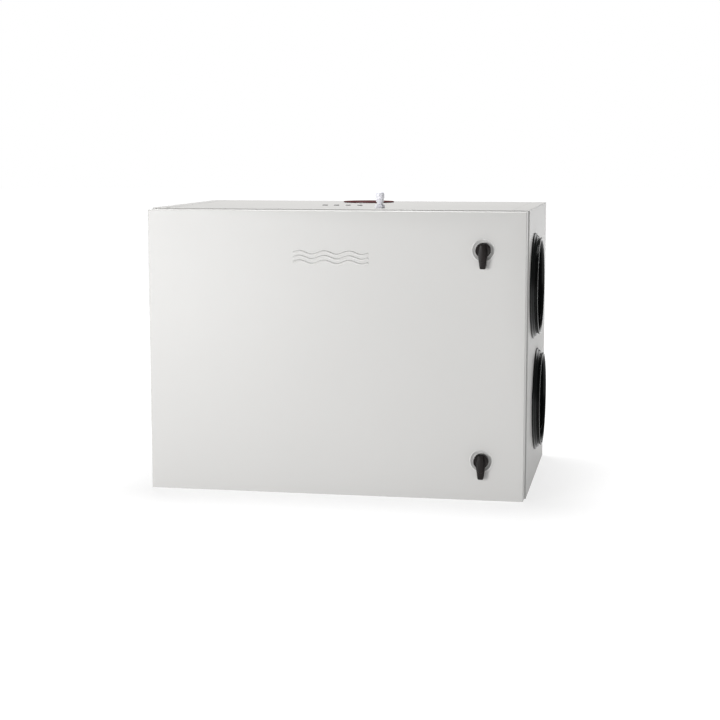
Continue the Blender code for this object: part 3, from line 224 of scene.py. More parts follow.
def powder_coat(name, colour, roughness=0.42):
    """Sprayed enamel: a fine orange peel, faint clouds in its shade and slightly uneven gloss."""
    made = Finish(name, colour, roughness)
    clouds = made.noise(3.5, 3)
    made.set({"Base Color": made.mix(clouds, tinted(colour, 0.985), tinted(colour, 1.012))})
    made.set({"Roughness": made.noise(55, 3) * 0.10 + (roughness - 0.05)})
    peel = made.noise(620, 1) * 0.8 + made.noise(1900, 0) * 0.2
    made.bump(peel, 0.000045, 0.35)
    return made


def galvanised(name, colour=(0.60, 0.62, 0.64), roughness=0.40):
    """Zinc coated sheet: a spangle of flat crystals, each with its own shade and gloss."""
    made = Finish(name, colour, roughness, 0.85)
    spangle = made.node("ShaderNodeSeparateColor", inputs={"Color": made.cells(105)})
    fine = made.noise(420, 2)
    made.set({"Base Color": made.mix(spangle, tinted(colour, 0.86), tinted(colour, 1.14))})
    made.set({"Roughness": spangle * 0.13 + fine * 0.06 + (roughness - 0.10)})
    made.bump(spangle * 0.3 + fine * 0.7, 0.00003, 0.5)
    return made


def gloss_black(name):
    """Moulded gloss plastic: near black, with flow marks and a trace of dust in its gloss."""
    colour = (0.0060, 0.0070, 0.0068)
    made = Finish(name, colour, 0.16)
    dust = made.ramp(made.noise(260, 4), (0.52, 0.0), (0.78, 1.0))
    made.set({"Base Color": made.mix(dust * 0.05, colour, (0.08, 0.085, 0.08))})
    made.set({"Roughness": made.noise(34, 3) * 0.10 + 0.19, "Specular IOR Level": 0.2})
    made.bump(made.noise(150, 2), 0.00004, 0.25)
    return made


def moulded(name, colour, roughness, grain=1500, depth=0.00004, variation=0.12):
    """Moulded plastic with an eroded grain."""
    made = Finish(name, colour, roughness)
    clouds = made.noise(60, 3)
    dark, light = tinted(colour, 1 - variation), tinted(colour, 1 + variation)
    made.set({"Base Color": made.mix(clouds, dark, light), "Specular IOR Level": 0.25})
    made.set({"Roughness": made.noise(grain / 3, 2) * 0.14 + (roughness - 0.07)})
    made.bump(made.noise(grain, 2), depth, 0.6)
    return made


def turned_metal(name, colour, roughness, stretch=(14, 1, 1), metallic=1.0):
    """Bright metal with fine tool marks that run across one direction."""
    made = Finish(name, colour, roughness, metallic)
    marks = made.noise(300, 3, stretch)
    made.set({"Base Color": made.mix(marks, tinted(colour, 0.85), tinted(colour, 1.12))})
    made.set({"Roughness": marks * 0.16 + (roughness - 0.08)})
    made.bump(marks, 0.00003, 0.5)
    return made


def rubber(name, colour, roughness=0.8):
    """Matte rubber with a skin of fine pores."""
    made = Finish(name, colour, roughness)
    pores = made.cells(700, "Distance")
    made.set({"Base Color": made.mix(made.noise(90, 3), tinted(colour, 0.8), tinted(colour, 1.25))})
    made.bump(pores, 0.00008, 0.5)
    return made


def enamel(name, colour=(0.030, 0.031, 0.034)):
    """Dipped motor enamel over a cast surface."""
    made = Finish(name, colour, 0.45)
    cast = made.noise(480, 4)
    made.set({"Base Color": made.mix(made.noise(40, 3), tinted(colour, 0.75), tinted(colour, 1.4))})
    made.set({"Roughness": cast * 0.2 + 0.35})
    made.bump(cast, 0.00014, 0.6)
    return made


def mineral_wool(name, colour):
    """Pressed fibres that lie mostly flat, with darker binder spots."""
    made = Finish(name, colour, 0.95)
    fibres = made.noise(420, 5, (1, 6, 1))
    spots = made.ramp(made.noise(70, 3), (0.45, 0.0), (0.75, 1.0))
    shade = spots * 0.4 + fibres * 0.4
    made.set({"Base Color": made.mix(shade, tinted(colour, 0.7), tinted(colour, 1.25))})
    made.bump(fibres, 0.0009, 0.8)
    return made


def felt(name, colour):
    """Non-woven filter cloth: short tangled fibres and uneven density."""
    made = Finish(name, colour, 0.92)
    fibres = made.noise(900, 5, (1, 1, 5))
    clouds = made.noise(30, 4)
    shade = clouds * 0.6 + fibres * 0.4
    made.set({"Base Color": made.mix(shade, tinted(colour, 0.86), tinted(colour, 1.08))})
    made.bump(fibres, 0.00025, 0.7)
    return made


def board_card(name, colour):
    """Stiff card: a faint pulp pattern and pressed lines."""
    made = Finish(name, colour, 0.75)
    pulp = made.noise(260, 5)
    made.set({"Base Color": made.mix(pulp, tinted(colour, 0.90), tinted(colour, 1.06))})
    made.bump(pulp, 0.00010, 0.5)
    return made


def foil(name):
    """Corrugated aluminium foil seen end on: thousands of small bright flutes, with painted shade
    darkening the deep channels between them.
    """
    colour = (0.70, 0.71, 0.73)
    made = Finish(name, colour, 0.34, 0.95)
    flutes = made.cells(560, "Distance")
    # Painted shade: the middle of each cell is darkened, and made rougher, for the deep channels of the
    # foil.
    channel_shade = made.ramp(flutes, (0.10, 1.0), (0.55, 0.0))
    made.set({"Base Color": made.mix(channel_shade, colour, (0.16, 0.165, 0.17))})
    made.set({"Roughness": channel_shade * 0.25 + 0.30})
    made.bump(flutes, 0.0007, 0.7)
    return made


def circuit(name):
    """Green solder mask over copper tracks."""
    mask, track = (0.012, 0.085, 0.035), (0.020, 0.14, 0.055)
    made = Finish(name, mask, 0.35)
    lines = made.node("ShaderNodeTexBrick", inputs={"Vector": made.place, "Scale": 70.0}, output="Fac")
    made.set({"Base Color": made.mix(lines * 0.8, mask, track)})
    made.set({"Roughness": made.noise(300, 2) * 0.1 + 0.3})
    made.bump(lines, 0.00004, 0.6)
    return made


def clear_plastic(name, colour):
    """Milky translucent plastic with a soft sheen."""
    made = moulded(name, colour, 0.30, 900, 0.00003, 0.04)
    made.set({"Subsurface Weight": 0.25, "Subsurface Scale": 0.004, "Subsurface Radius": (1.0, 0.95, 1.0)})
    return made


LOOK = {
    # The cabinet panels wear the door's enamel painted darker: painted shade on their sides, top and back.
    "cabinet": powder_coat("cabinet_enamel", (0.520, 0.514, 0.502)),
    "door": powder_coat("door_enamel", (0.605, 0.600, 0.588)),
    # The latch dishes wear the door's enamel painted lighter: painted light against the shade inside their
    # recess.
    "dish": powder_coat("dish_enamel", (0.700, 0.695, 0.682), 0.38),
    "zinc": galvanised("galvanised_sheet"),
    "lining": galvanised("galvanised_lining", (0.66, 0.68, 0.69), 0.46),
    "spigot": gloss_black("spigot_plastic"),
    "latch": moulded("latch_plastic", (0.0080, 0.0056, 0.0050), 0.42),
    "impeller": moulded("impeller_plastic", (0.022, 0.024, 0.028), 0.42, 900),
    "cap": moulded("cap_plastic", (0.060, 0.0016, 0.0020), 0.46, 1100, 0.00003),
    "gland": clear_plastic("gland_plastic", (0.80, 0.80, 0.85)),
    "grommet": rubber("grommet_rubber", (0.30, 0.30, 0.295), 0.7),
    "seal": rubber("seal_rubber", (0.020, 0.020, 0.022)),
    "gasket": rubber("gasket_rubber", (0.36, 0.36, 0.35)),
    "steel": turned_metal("bright_steel", (0.56, 0.565, 0.575), 0.30),
    "hub": turned_metal("cast_hub", (0.66, 0.67, 0.68), 0.42, (3, 3, 3), 0.9),
    "foil": foil("rotor_foil"),
    "motor": enamel("motor_enamel"),
    "wool": mineral_wool("mineral_wool", (0.34, 0.31, 0.22)),
    "media": felt("filter_cloth", (0.80, 0.80, 0.76)),
    "card": board_card("filter_card", (0.62, 0.60, 0.54)),
    "bristle": moulded("brush_fibre", (0.03, 0.03, 0.032), 0.75),
    "circuit": circuit("circuit_board"),
    "terminal": moulded("terminal_plastic", (0.05, 0.23, 0.10), 0.45),
    "relay": moulded("relay_plastic", (0.02, 0.05, 0.16), 0.40),
    "copper": turned_metal("heater_copper", (0.60, 0.34, 0.22), 0.32),
}

# ---- Shapes ------------------------------------------------------------------------------------


def soften(outline, radius, steps=4, closed=True):
    """Rounds the corners of an outline. An open one keeps its two ends."""
    result = []
    count = len(outline)
    for i, corner in enumerate(outline):
        if not closed and i in (0, count - 1):
            result.append(corner)
            continue
        here = Vector(corner)
        before = Vector(outline[i - 1]) - here
        after = Vector(outline[(i + 1) % count]) - here
        reach = min(radius, before.length * 0.45, after.length * 0.45)
        start, end = here + before.normalized() * reach, here + after.normalized() * reach
        for k in range(steps + 1):
            t = k / steps
            point = start * (1 - t) ** 2 + here * (2 * t * (1 - t)) + end * t**2
            result.append(tuple(point))
    return result


def skin(work, rings, closed):
    """Faces between rings of points that have equal counts, or that are a single point."""
    count = max(len(ring) for ring in rings)
    following = rings[1:] + rings[:1] if closed else rings[1:]
    for one, two in zip(rings, following):
        if len(one) == len(two) == 1:
            continue
        for i in range(count):
            j = (i + 1) % count
            corners = [one[i % len(one)], one[j % len(one)], two[j % len(two)], two[i % len(two)]]
            work.faces.new(list(dict.fromkeys(corners)))


def lathe(work, outline, centre, axis, sides=SMOOTH):
    """A turned form from an outline of (radius, distance along the axis)."""
    along = Vector(axis).normalized()
    across = Vector((0, 0, 1)) if abs(along.z) < 0.9 else Vector((1, 0, 0))
    third = along.cross(across)
    rings = []
    for radius, reach in outline:
        base = Vector(centre) + along * reach
        if radius < 1e-6:
            rings.append([work.verts.new(base)])
            continue
        ring = []
        for i in range(sides):
            angle = 2 * pi * i / sides
            ring.append(work.verts.new(base + (across * cos(angle) + third * sin(angle)) * radius))
        rings.append(ring)
    skin(work, rings, True)


def turned(name, outline, centre, axis, sides=SMOOTH):
    """An object that is one turned form."""
    work = bmesh.new()
    lathe(work, outline, centre, axis, sides)
    return object_of(name, work)


def cutting_rod(radius, centre, axis, low, high, sides=SMALL):
    """A round rod for cutting a hole."""
    return turned("cutter", [(0, low), (radius, low), (radius, high), (0, high)], centre, axis, sides)


def inset(outline, amount):
    """The outline moved inwards by an amount."""
    area = sum(a[0] * b[1] - b[0] * a[1] for a, b in zip(outline, outline[1:] + outline[:1]))
    side = 1 if area > 0 else -1
    result = []
    for i, point in enumerate(outline):
        here = Vector(point)
        one = (here - Vector(outline[i - 1])).normalized()
        two = (Vector(outline[(i + 1) % len(outline)]) - here).normalized()
        normal = Vector((-one.y - two.y, one.x + two.x)) * side
        normal.normalize()
        share = max(0.3, abs(normal.dot(Vector((-one.y, one.x)))))
        result.append(tuple(here + normal * (amount / share)))
    return result


def slab(work, outline, axis, low, high, edge=0.0):
    """An outline drawn out along an axis, with softened rims. The outline is in the other two axes."""
    order = {"X": (1, 2, 0), "Y": (0, 2, 1), "Z": (0, 1, 2)}[axis]
    towards = 1 if high > low else -1
    levels = [(edge, 0.0), (edge * 0.3, 0.3 * edge), (0.0, edge)] if edge else [(0.0, 0.0)]
    rings = []
    for shrink, rise in levels:
        rings.append((shrink, low + towards * rise))
    for shrink, rise in levels[::-1]:
        rings.append((shrink, high - towards * rise))
    made = []
    for shrink, level in rings:
        ring = []
        for a, b in inset(outline, shrink) if shrink else outline:
            place = [0.0, 0.0, 0.0]
            place[order[0]], place[order[1]], place[order[2]] = a, b, level
            ring.append(work.verts.new(place))
        made.append(ring)
    skin(work, made, False)
    work.faces.new(made[0])
    work.faces.new(made[-1])


def block(work, low, high, edge=0.0, segments=3):
    """A box between two corners, with rounded edges."""
    verts = bmesh.ops.create_cube(work, size=1)["verts"]
    for v in verts:
        v.co = Vector(low[i] + (v.co[i] + 0.5) * (high[i] - low[i]) for i in range(3))
    if edge:
        edges = list(dict.fromkeys(e for v in verts for e in v.link_edges))
        bmesh.ops.bevel(work, geom=edges, offset=edge, segments=segments, profile=0.5, affect="EDGES")


def boxed(name, low, high, edge=0.0, segments=3):
    """An object that is one box."""
    work = bmesh.new()
    block(work, low, high, edge, segments)
    return object_of(name, work)


def sweep(work, points, profile, up, closed=False):
    """A profile of (out, up) points carried along a line of points."""
    points = [Vector(p) for p in points]
    count = len(points)
    rings = []
    side = Vector(up)
    for i, point in enumerate(points):
        before = points[i - 1] if closed or i else point
        after = points[(i + 1) % count] if closed or i < count - 1 else point
        tangent = (after - before).normalized()
        out = tangent.cross(side).normalized()
        side = out.cross(tangent).normalized()
        rings.append([work.verts.new(point + out * a + side * b) for a, b in profile])
    skin(work, rings, closed)
    if not closed:
        work.faces.new(rings[0])
        work.faces.new(rings[-1])


def circle(radius, sides=12, end=2 * pi):
    """Points on a circle, or on an arc with both its ends."""
    steps = sides if end == 2 * pi else sides - 1
    angles = [end * i / steps for i in range(sides)]
    return [(radius * cos(a), radius * sin(a)) for a in angles]


def rectangle(low, high):
    """The four corners between two opposite ones."""
    return [(low[0], low[1]), (high[0], low[1]), (high[0], high[1]), (low[0], high[1])]


def mirrored(half, x=0.0):
    """A closed outline that is the same on both sides of x, from its points on one side."""
    return half + [(2 * x - across, rise) for across, rise in half[::-1]]


def placed(name, data):
    """An object in the scene that holds a mesh, a light or a camera."""
    made = bpy.data.objects.new(name, data)
    bpy.context.scene.collection.objects.link(made)
    return made


def object_of(name, work):
    """An object from a bmesh, with its faces pointing outwards."""
    bmesh.ops.recalc_face_normals(work, faces=work.faces)
    mesh = bpy.data.meshes.new(name)
    work.to_mesh(mesh)
    work.free()
    return placed(name, mesh)


def plain_mesh(made):
    """Applies an object's modifiers to its mesh."""
    graph = bpy.context.evaluated_depsgraph_get()
    mesh = bpy.data.meshes.new_from_object(made.evaluated_get(graph))
    made.modifiers.clear()
    made.data = mesh
    return made


def carve(made, *cutters):
    """Cuts the cutters from an object and removes them."""
    for cutter in cutters:
        step = made.modifiers.new("cut", "BOOLEAN")
        step.operation = "DIFFERENCE"
        step.object = cutter
    plain_mesh(made)
    for cutter in cutters:
        bpy.data.objects.remove(cutter)
    return made


def settle(made, look, body, hides=(), angle=34):
    """Gives a piece its finish and shading, and puts it on its body in place of the nodes it hides."""
    if isinstance(made, tuple):
        made = object_of(*made)
    made.data.materials.clear()
    made.data.materials.append(LOOK[look].material)
    made.data.shade_smooth()
    made.data.set_sharp_from_angle(angle=radians(angle))
    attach(made, body)
    if hides:
        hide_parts(*hides)


def middle(node):
    """The middle of a node's box."""
    low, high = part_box(node)
    return (low + high) / 2


# ---- Repeats -----------------------------------------------------------------------------------


class Pattern(Net):
    """A geometry tree with named sizes. It ends in Realize Instances and Set Material."""

    def __init__(self, name, **sizes):
        tree = bpy.data.node_groups.new(name, "GeometryNodeTree")
        super().__init__(tree)
        tree.interface.new_socket("Geometry", in_out="OUTPUT", socket_type="NodeSocketGeometry")
        sockets = {"Geometry": "NodeSocketGeometry", "Material": "NodeSocketMaterial", **sizes}
        self.keys = {}
        for label, kind in sockets.items():
            made = tree.interface.new_socket(label, in_out="INPUT", socket_type=kind)
            self.keys[label] = made.identifier
        start = tree.nodes.new("NodeGroupInput")
        self.given = {label: Value(self, start.outputs[label]) for label in sockets}
        self.end = tree.nodes.new("NodeGroupOutput")

    def finish(self, geometry):
        whole = self.node("GeometryNodeRealizeInstances", inputs={"Geometry": geometry})
        inputs = {"Geometry": whole, "Material": self.given["Material"]}
        self.feed(self.end.inputs[0], self.node("GeometryNodeSetMaterial", inputs=inputs))
        return self

    def apply(self, made, look, **sizes):
        """Runs the tree on an object and leaves a plain mesh."""
        step = made.modifiers.new("pattern", "NODES")
        step.node_group = self.tree
        step[self.keys["Material"]] = LOOK[look].material
        for label, value in sizes.items():
            step[self.keys[label.replace("_", " ").capitalize()]] = value
        return plain_mesh(made)


FLOAT, WHOLE, VECTOR = "NodeSocketFloat", "NodeSocketInt", "NodeSocketVector"


def ring_pattern():
    """Copies of the geometry, turned about an axis through a centre."""
    net = Pattern("around_an_axis", Count=WHOLE, Centre=VECTOR, Axis=VECTOR)
    given = net.given
    none = {"Count": given["Count"], "Start Location": given["Centre"], "Offset": (0, 0, 0)}
    points = net.node("GeometryNodeMeshLine", inputs=none)
    back = net.node("ShaderNodeVectorMath", {"operation": "SCALE"}, {0: given["Centre"], "Scale": -1.0})
    one = net.node("GeometryNodeTransform", inputs={"Geometry": given["Geometry"], "Translation": back})
    index = net.node("GeometryNodeInputIndex")
    angle = index * (2 * pi) / given["Count"]
    turn = net.node("FunctionNodeAxisAngleToRotation", inputs={"Axis": given["Axis"], "Angle": angle})
    inputs = {"Points": points, "Instance": one, "Rotation": turn}
    return net.finish(net.node("GeometryNodeInstanceOnPoints", inputs=inputs))


def row_pattern():
    """Copies of the geometry in a straight row."""
    net = Pattern("in_a_row", Count=WHOLE, Step=VECTOR)
    given = net.given
    points = net.node("GeometryNodeMeshLine", inputs={"Count": given["Count"], "Offset": given["Step"]})
    inputs = {"Points": points, "Instance": given["Geometry"]}
    return net.finish(net.node("GeometryNodeInstanceOnPoints", inputs=inputs))


def screw_pattern():
    """A pan head with a six-sided recess on each point, facing along the point's attribute."""
    net = Pattern("screw_heads", **{"Head radius": FLOAT, "Head height": FLOAT})
    given = net.given
    radius, height = given["Head radius"], given["Head height"]
    cone = {"Vertices": 20, "Radius Top": radius * 0.72, "Radius Bottom": radius, "Depth": height}
    head = net.node("GeometryNodeMeshCone", inputs=cone)
    up = net.node("ShaderNodeCombineXYZ", inputs={"Z": height * 0.45})
    recess = {"Vertices": 6, "Radius": radius * 0.42, "Depth": height}
    recess = net.node("GeometryNodeMeshCylinder", inputs=recess)
    recess = net.node("GeometryNodeTransform", inputs={"Geometry": recess, "Translation": up})
    inputs = {"Mesh 1": head, "Mesh 2": recess}
    head = net.node("GeometryNodeMeshBoolean", {"operation": "DIFFERENCE"}, inputs)
    facing = net.node("GeometryNodeInputNamedAttribute", {"data_type": "FLOAT_VECTOR"}, {"Name": "facing"})
    turn = net.node("FunctionNodeAlignRotationToVector", {"axis": "Z"}, {"Vector": facing})
    inputs = {"Points": given["Geometry"], "Instance": head, "Rotation": turn}
    return net.finish(net.node("GeometryNodeInstanceOnPoints", inputs=inputs))


def fin_pattern():
    """Thin round fins threaded on a line of edges."""
    net = Pattern("fins_on_a_rod", **{"Pitch": FLOAT, "Fin radius": FLOAT, "Fin thickness": FLOAT})
    given = net.given
    line = net.node("GeometryNodeMeshToCurve", inputs={"Mesh": given["Geometry"]})
    inputs = {"Curve": line, "Length": given["Pitch"]}
    beads = net.node("GeometryNodeResampleCurve", {"mode": "LENGTH"}, inputs)
    sizes = {"Vertices": 16, "Radius": given["Fin radius"], "Depth": given["Fin thickness"]}
    fin = net.node("GeometryNodeMeshCylinder", inputs=sizes)
    tangent = net.node("GeometryNodeInputTangent")
    turn = net.node("FunctionNodeAlignRotationToVector", {"axis": "Z"}, {"Vector": tangent})
    inputs = {"Points": beads, "Instance": fin, "Rotation": turn}
    return net.finish(net.node("GeometryNodeInstanceOnPoints", inputs=inputs))


def pleat_pattern():
    """A sheet folded into an even zigzag along Y, with its folds upright."""
    sizes = {"Folds": WHOLE, "Length": FLOAT, "Height": FLOAT, "Depth": FLOAT, "Sheet": FLOAT}
    net = Pattern("pleats", **sizes)
    given = net.given
    count = given["Folds"] + 1
    line = net.node("GeometryNodeMeshLine", inputs={"Count": count})
    index = net.node("GeometryNodeInputIndex")
    out = (index % 2.0 - 0.5) * given["Depth"]
    along = (index / given["Folds"] - 0.5) * given["Length"]
    place = net.node("ShaderNodeCombineXYZ", inputs={"X": out, "Y": along, "Z": given["Height"] * -0.5})
    line = net.node("GeometryNodeSetPosition", inputs={"Geometry": line, "Position": place})
    rise = net.node("ShaderNodeCombineXYZ", inputs={"Z": given["Height"]})
    inputs = {"Mesh": line, "Offset": rise, "Offset Scale": 1.0}
    sheet = net.node("GeometryNodeExtrudeMesh", {"mode": "EDGES"}, inputs)
    aside = net.node("ShaderNodeCombineXYZ", inputs={"X": given["Sheet"]})
    inputs = {"Mesh": sheet, "Offset": aside, "Offset Scale": 1.0, "Individual": False}
    thick = net.node("GeometryNodeExtrudeMesh", {"mode": "FACES"}, inputs)
    back = net.node("GeometryNodeFlipFaces", inputs={"Mesh": sheet})
    both = net.node("GeometryNodeJoinGeometry", inputs={"Geometry": thick})
    net.tree.links.new(back.socket, both.socket.node.inputs[0])
    whole = net.node("GeometryNodeMergeByDistance", inputs={"Geometry": both, "Distance": 0.00001})
    return net.finish(net.node("GeometryNodeFlipFaces", inputs={"Mesh": whole}))


def hoop_pattern():
    """Concentric hoops of wound foil, each a small ridge, between two radii."""
    sizes = {"Count": WHOLE, "Inner radius": FLOAT, "Pitch": FLOAT, "Ridge": FLOAT, "Segments": WHOLE}
    net = Pattern("wound_hoops", **sizes)
    given = net.given
    points = net.node("GeometryNodeMeshLine", inputs={"Count": given["Count"], "Offset": (0, 0, 0)})
    round_line = {"Resolution": given["Segments"], "Radius": 1.0}
    hoop = net.node("GeometryNodeCurvePrimitiveCircle", inputs=round_line)
    radius = net.node("GeometryNodeInputIndex") * given["Pitch"] + given["Inner radius"]
    size = net.node("ShaderNodeCombineXYZ", inputs={"X": radius, "Y": radius, "Z": 1.0})
    inputs = {"Points": points, "Instance": hoop, "Scale": size}
    hoops = net.node("GeometryNodeInstanceOnPoints", inputs=inputs)
    hoops = net.node("GeometryNodeRealizeInstances", inputs={"Geometry": hoops})
    section = {"Resolution": 4, "Radius": given["Ridge"]}
    section = net.node("GeometryNodeCurvePrimitiveCircle", inputs=section)
    inputs = {"Curve": hoops, "Profile Curve": section}
    return net.finish(net.node("GeometryNodeCurveToMesh", inputs=inputs))


RING, ROW, SCREW = ring_pattern(), row_pattern(), screw_pattern()
FIN, PLEAT, HOOP = fin_pattern(), pleat_pattern(), hoop_pattern()


def points_of(name, places):
    """An object of loose points from (place, facing) pairs."""
    mesh = bpy.data.meshes.new(name)
    mesh.from_pydata([place for place, _ in places], [], [])
    facing = mesh.attributes.new("facing", "FLOAT_VECTOR", "POINT")
    for item, (_, way) in zip(facing.data, places):
        item.vector = way
    return placed(name, mesh)


def edges_of(name, pairs):
    """An object of separate straight edges from (start, end) pairs."""
    mesh = bpy.data.meshes.new(name)
    points = [point for pair in pairs for point in pair]
    mesh.from_pydata(points, [(2 * i, 2 * i + 1) for i in range(len(pairs))], [])
    return placed(name, mesh)


def screws(name, places, body, radius, height):
    """Screw heads at (place, facing) pairs."""
    heads = SCREW.apply(points_of(name, places), "steel", head_radius=radius, head_height=height)
    settle(heads, "steel", body, angle=30)


# ---- Cabinet -----------------------------------------------------------------------------------

# Nodes that are shown as they are, by finish.
KEPT = {
    # The panels take the cabinet enamel, the door's enamel painted darker as painted shade.
    "cabinet": ("left_panel", "right_panel", "top_panel", "bottom_panel", "back_panel"),
    "lining": (
        "left_insulation",
        "right_insulation",
        "top_insulation",
        "bottom_insulation",
        "back_insulation",
        "door_liner",
        "left_deck",
        "right_deck",
    ),
    "wool": ("door_insulation",),
    "zinc": (
        "rotor_housing",
        "extract_filter_rail",
        "outdoor_filter_rail",
        "heater_frame",
        "controller_tray",
        "controller_cover",
    ),
}

for look, names in KEPT.items():
    for name in names:
        mesh = frame["nodes"][name].data
        mesh.materials.clear()
        mesh.materials.append(LOOK[look].material)

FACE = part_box("door_skin")[0].y
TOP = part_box("top_panel")[1].z
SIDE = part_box("right_panel")[1].x
HOUSE_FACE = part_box("rotor_housing")[1].x
HUB = middle("rotor_matrix")
LATCHES = {name: middle(name + "_latch_dish") for name in ("upper", "lower")}


def spigot(node, side):
    """A duct spigot: pipe, flange on the wall, lip, groove and the ring at its mouth."""
    centre = middle(node)
    bore, pipe, flange, depth = 0.1185, 0.1225, 0.137, 0.040
    outline = [(bore, -depth), (pipe, -depth), (pipe, GAP), (flange, GAP)]
    outline += [(0.138, 0.0022), (0.1355, 0.0046), (0.1330, 0.0054), (0.1318, 0.0080), (0.1290, 0.0112)]
    outline += [(0.1240, 0.0122), (0.1235, 0.0132), (0.1235, 0.0145), (0.1258, 0.0156)]
    outline += [(0.1262, 0.0185), (0.1225, 0.0195), (0.1200, 0.0186), (0.1180, 0.0160)]
    outline += [(0.1174, 0.0120), (0.1180, 0.0070), (0.1188, 0.0040)]
    place = (side * SIDE, centre.y, centre.z)
    shell = turned(node + "_shell", soften(outline, 0.0014), place, (side, 0, 0), FINE)
    settle(shell, "spigot", "casing", [node])


for name, side in SIDES:
    for level in ("upper", "lower"):
        spigot("duct_" + name + "_" + level, side)

# ---- Door --------------------------------------------------------------------------------------


def door_front():
    """The door's painted sheet with its folded edges and the holes for the latch dishes."""
    low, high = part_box("door_skin")
    past = 0.01
    made = boxed("door_front", low, (high.x, high.y + past, high.z), PAINT_BEND, 5)
    inner = low + Vector((SHEET, SHEET, SHEET))
    tools = [
        boxed("cutter", inner, (high.x - SHEET, high.y + 2 * past, high.z - SHEET)),
        boxed("cutter", (low.x - past, high.y, low.z - past), high + Vector((past, 2 * past, past))),
    ]
    for centre in LATCHES.values():
        place = (centre.x, FACE, centre.z)
        tools.append(cutting_rod(DISH_RADIUS + 0.0002, place, INWARDS, -2 * past, 6 * past, SMOOTH))
    settle(carve(made, *tools), "door", "door", ["door_skin"])


def door_relief():
    """A plain pressed ornament of three waves."""
    half, root, steps, waves = RELIEF_BAR / 2, 0.0004, 64, 3
    section = [(x * half, y * RELIEF_HEIGHT) for x, y in circle(1, 9, end=pi)]
    section += [(-half, -root), (half, -root)]
    work = bmesh.new()
    for row in (-1, 0, 1):
        points = []
        for i in range(steps + 1):
            share = i / steps
            x = RELIEF_CENTRE[0] + RELIEF_LENGTH * (share - 0.5)
            z = RELIEF_CENTRE[1] + row * RELIEF_STEP + RELIEF_WAVE * sin(share * 2 * waves * pi)
            points.append((x, FACE, z))
        sweep(work, points, section, (0, -1, 0))
    settle(("door_relief", work), "door", "door", angle=60)


def door_seal():
    """A hollow seal with two lips, in a loop round the back of the door."""
    low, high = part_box("door_gasket")
    half, bend = 0.007, 0.016
    corners = rectangle((low.x + half, low.z + half), (high.x - half, high.z - half))
    path = [(x, low.y, z) for x, z in soften(corners, bend, 8)]
    lip = [(-half, 0.0), (-half, 0.0012), (-0.0055, 0.0034), (-0.0030, 0.0034), (-0.0015, 0.0016)]
    work = bmesh.new()
    sweep(work, path, soften(mirrored(lip), 0.0008, 2), INWARDS, closed=True)
    settle(("door_seal", work), "gasket", "door", ["door_gasket"], 60)


def latch(level):
    """The dish in the door, the knob with its lever, and the tongue on the knob's shaft."""
    x, z = LATCHES[level].x, LATCHES[level].z
    place, body = (x, FACE, z), level + "_latch"
    shaft, bore, knob, floor, back = 0.005, 0.0052, 0.019, 0.0034, 0.0092
    outline = [(bore, floor), (0.0215, floor), (0.0262, 0.0004), (0.0270, -0.0006), (0.0286, -0.0006)]
    outline += [(0.0293, 0.0), (DISH_RADIUS, 0.0004), (DISH_RADIUS, back), (0.012, back)]
    outline += [(0.012, 0.045), (bore, 0.045)]
    bowl = turned(body + "_bowl", soften(outline, 0.0012), place, INWARDS)
    # The dish takes the door's enamel painted lighter, as painted light in its recess.
    settle(bowl, "dish", "door", [body + "_dish"])
    work = bmesh.new()
    outline = [(0, -0.0122), (0.0150, -0.0122), (0.0160, -0.013), (0.0176, -0.013), (knob, -0.0112)]
    outline += [(knob, 0.0028), (shaft, 0.0028), (shaft, 0.0555), (0, 0.0555)]
    lathe(work, soften(outline, 0.0008, closed=False), place, INWARDS)
    lever = [(0.0052, -0.046), (0.0072, -0.044), (0.012, -0.0105), (0.0074, 0.0076)]
    lever = mirrored([(x + across, z + rise) for across, rise in lever], x)
    slab(work, soften(lever, 0.002), "Y", FACE - 0.003, FACE - 0.0145, 0.0009)
    bar = [(0.0056, -0.0285), (0.009, 0.0), (0.0063, 0.0156)]
    bar = mirrored([(x + across, z + rise) for across, rise in bar], x)
    slab(work, soften(bar, 0.003), "Y", FACE - 0.009, FACE - 0.019, 0.0022)
    settle((body + "_handle", work), "latch", body, [body + "_knob"])
    low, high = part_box(body + "_cam")
    work = bmesh.new()
    shape = soften(rectangle((low.x, low.z), (high.x, high.z)), 0.005)
    slab(work, shape, "Y", low.y, high.y, 0.0005)
    settle((body + "_tongue", work), "steel", body, [body + "_cam"])
    screws(body + "_bolt", [((x, high.y, z), INWARDS)], body, radius=0.0065, height=0.0028)


def hinge(level):
    """A lift-off hinge: the leaf with the pin on the cabinet, and the leaf that hangs on it."""
    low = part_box(level + "_wall_leaf")[0]
    barrel, bore, pin, leaf, length = 0.005, 0.0023, 0.0021, 0.0025, 0.030
    x, y, z = low.x + barrel, low.y + barrel, low.z + length
    wall_face, door_face = -SIDE - GAP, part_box("door_skin")[0].x - GAP
    parts = {
        "wall": (-length, -GAP, wall_face, y, y + 0.035),
        "door": (0.0, length, door_face, y - 0.035, y - 0.003),
    }
    for part, (start, end, face, near, far) in parts.items():
        body = "casing" if part == "wall" else "door"
        work = bmesh.new()
        outline = [(bore, start), (barrel, start), (barrel, end), (bore, end)]
        lathe(work, soften(outline, 0.0006), (x, y, z), UPWARDS, SMALL)
        block(work, (face - leaf, near, z + start), (face, far, z + end), 0.0008)
        if part == "wall":
            rod = [(0, -0.015), (pin, -0.015), (pin, 0.024), (0, 0.024)]
            lathe(work, soften(rod, 0.0006, closed=False), (x, y, z), UPWARDS, SMALL)
        else:
            block(work, (x, y - barrel, z), (face - GAP, y - 0.003, z + end), 0.0003)
        node = level + "_" + part + "_leaf"
        settle((node + "_plate", work), "steel", body, [node])
        heads = [
            ((face - leaf, near + (far - near) * across, z + (start + end) / 2 + rise), (-1, 0, 0))
            for across, rise in ((0.35, 0.008), (0.35, -0.008), (0.75, 0.0))
        ]
        screws(node + "_screws", heads, body, radius=0.003, height=0.0012)


door_front()
door_relief()
door_seal()
for name in LATCHES:
    latch(name)
    hinge(name)

# ---- Fittings on the top -----------------------------------------------------------------------


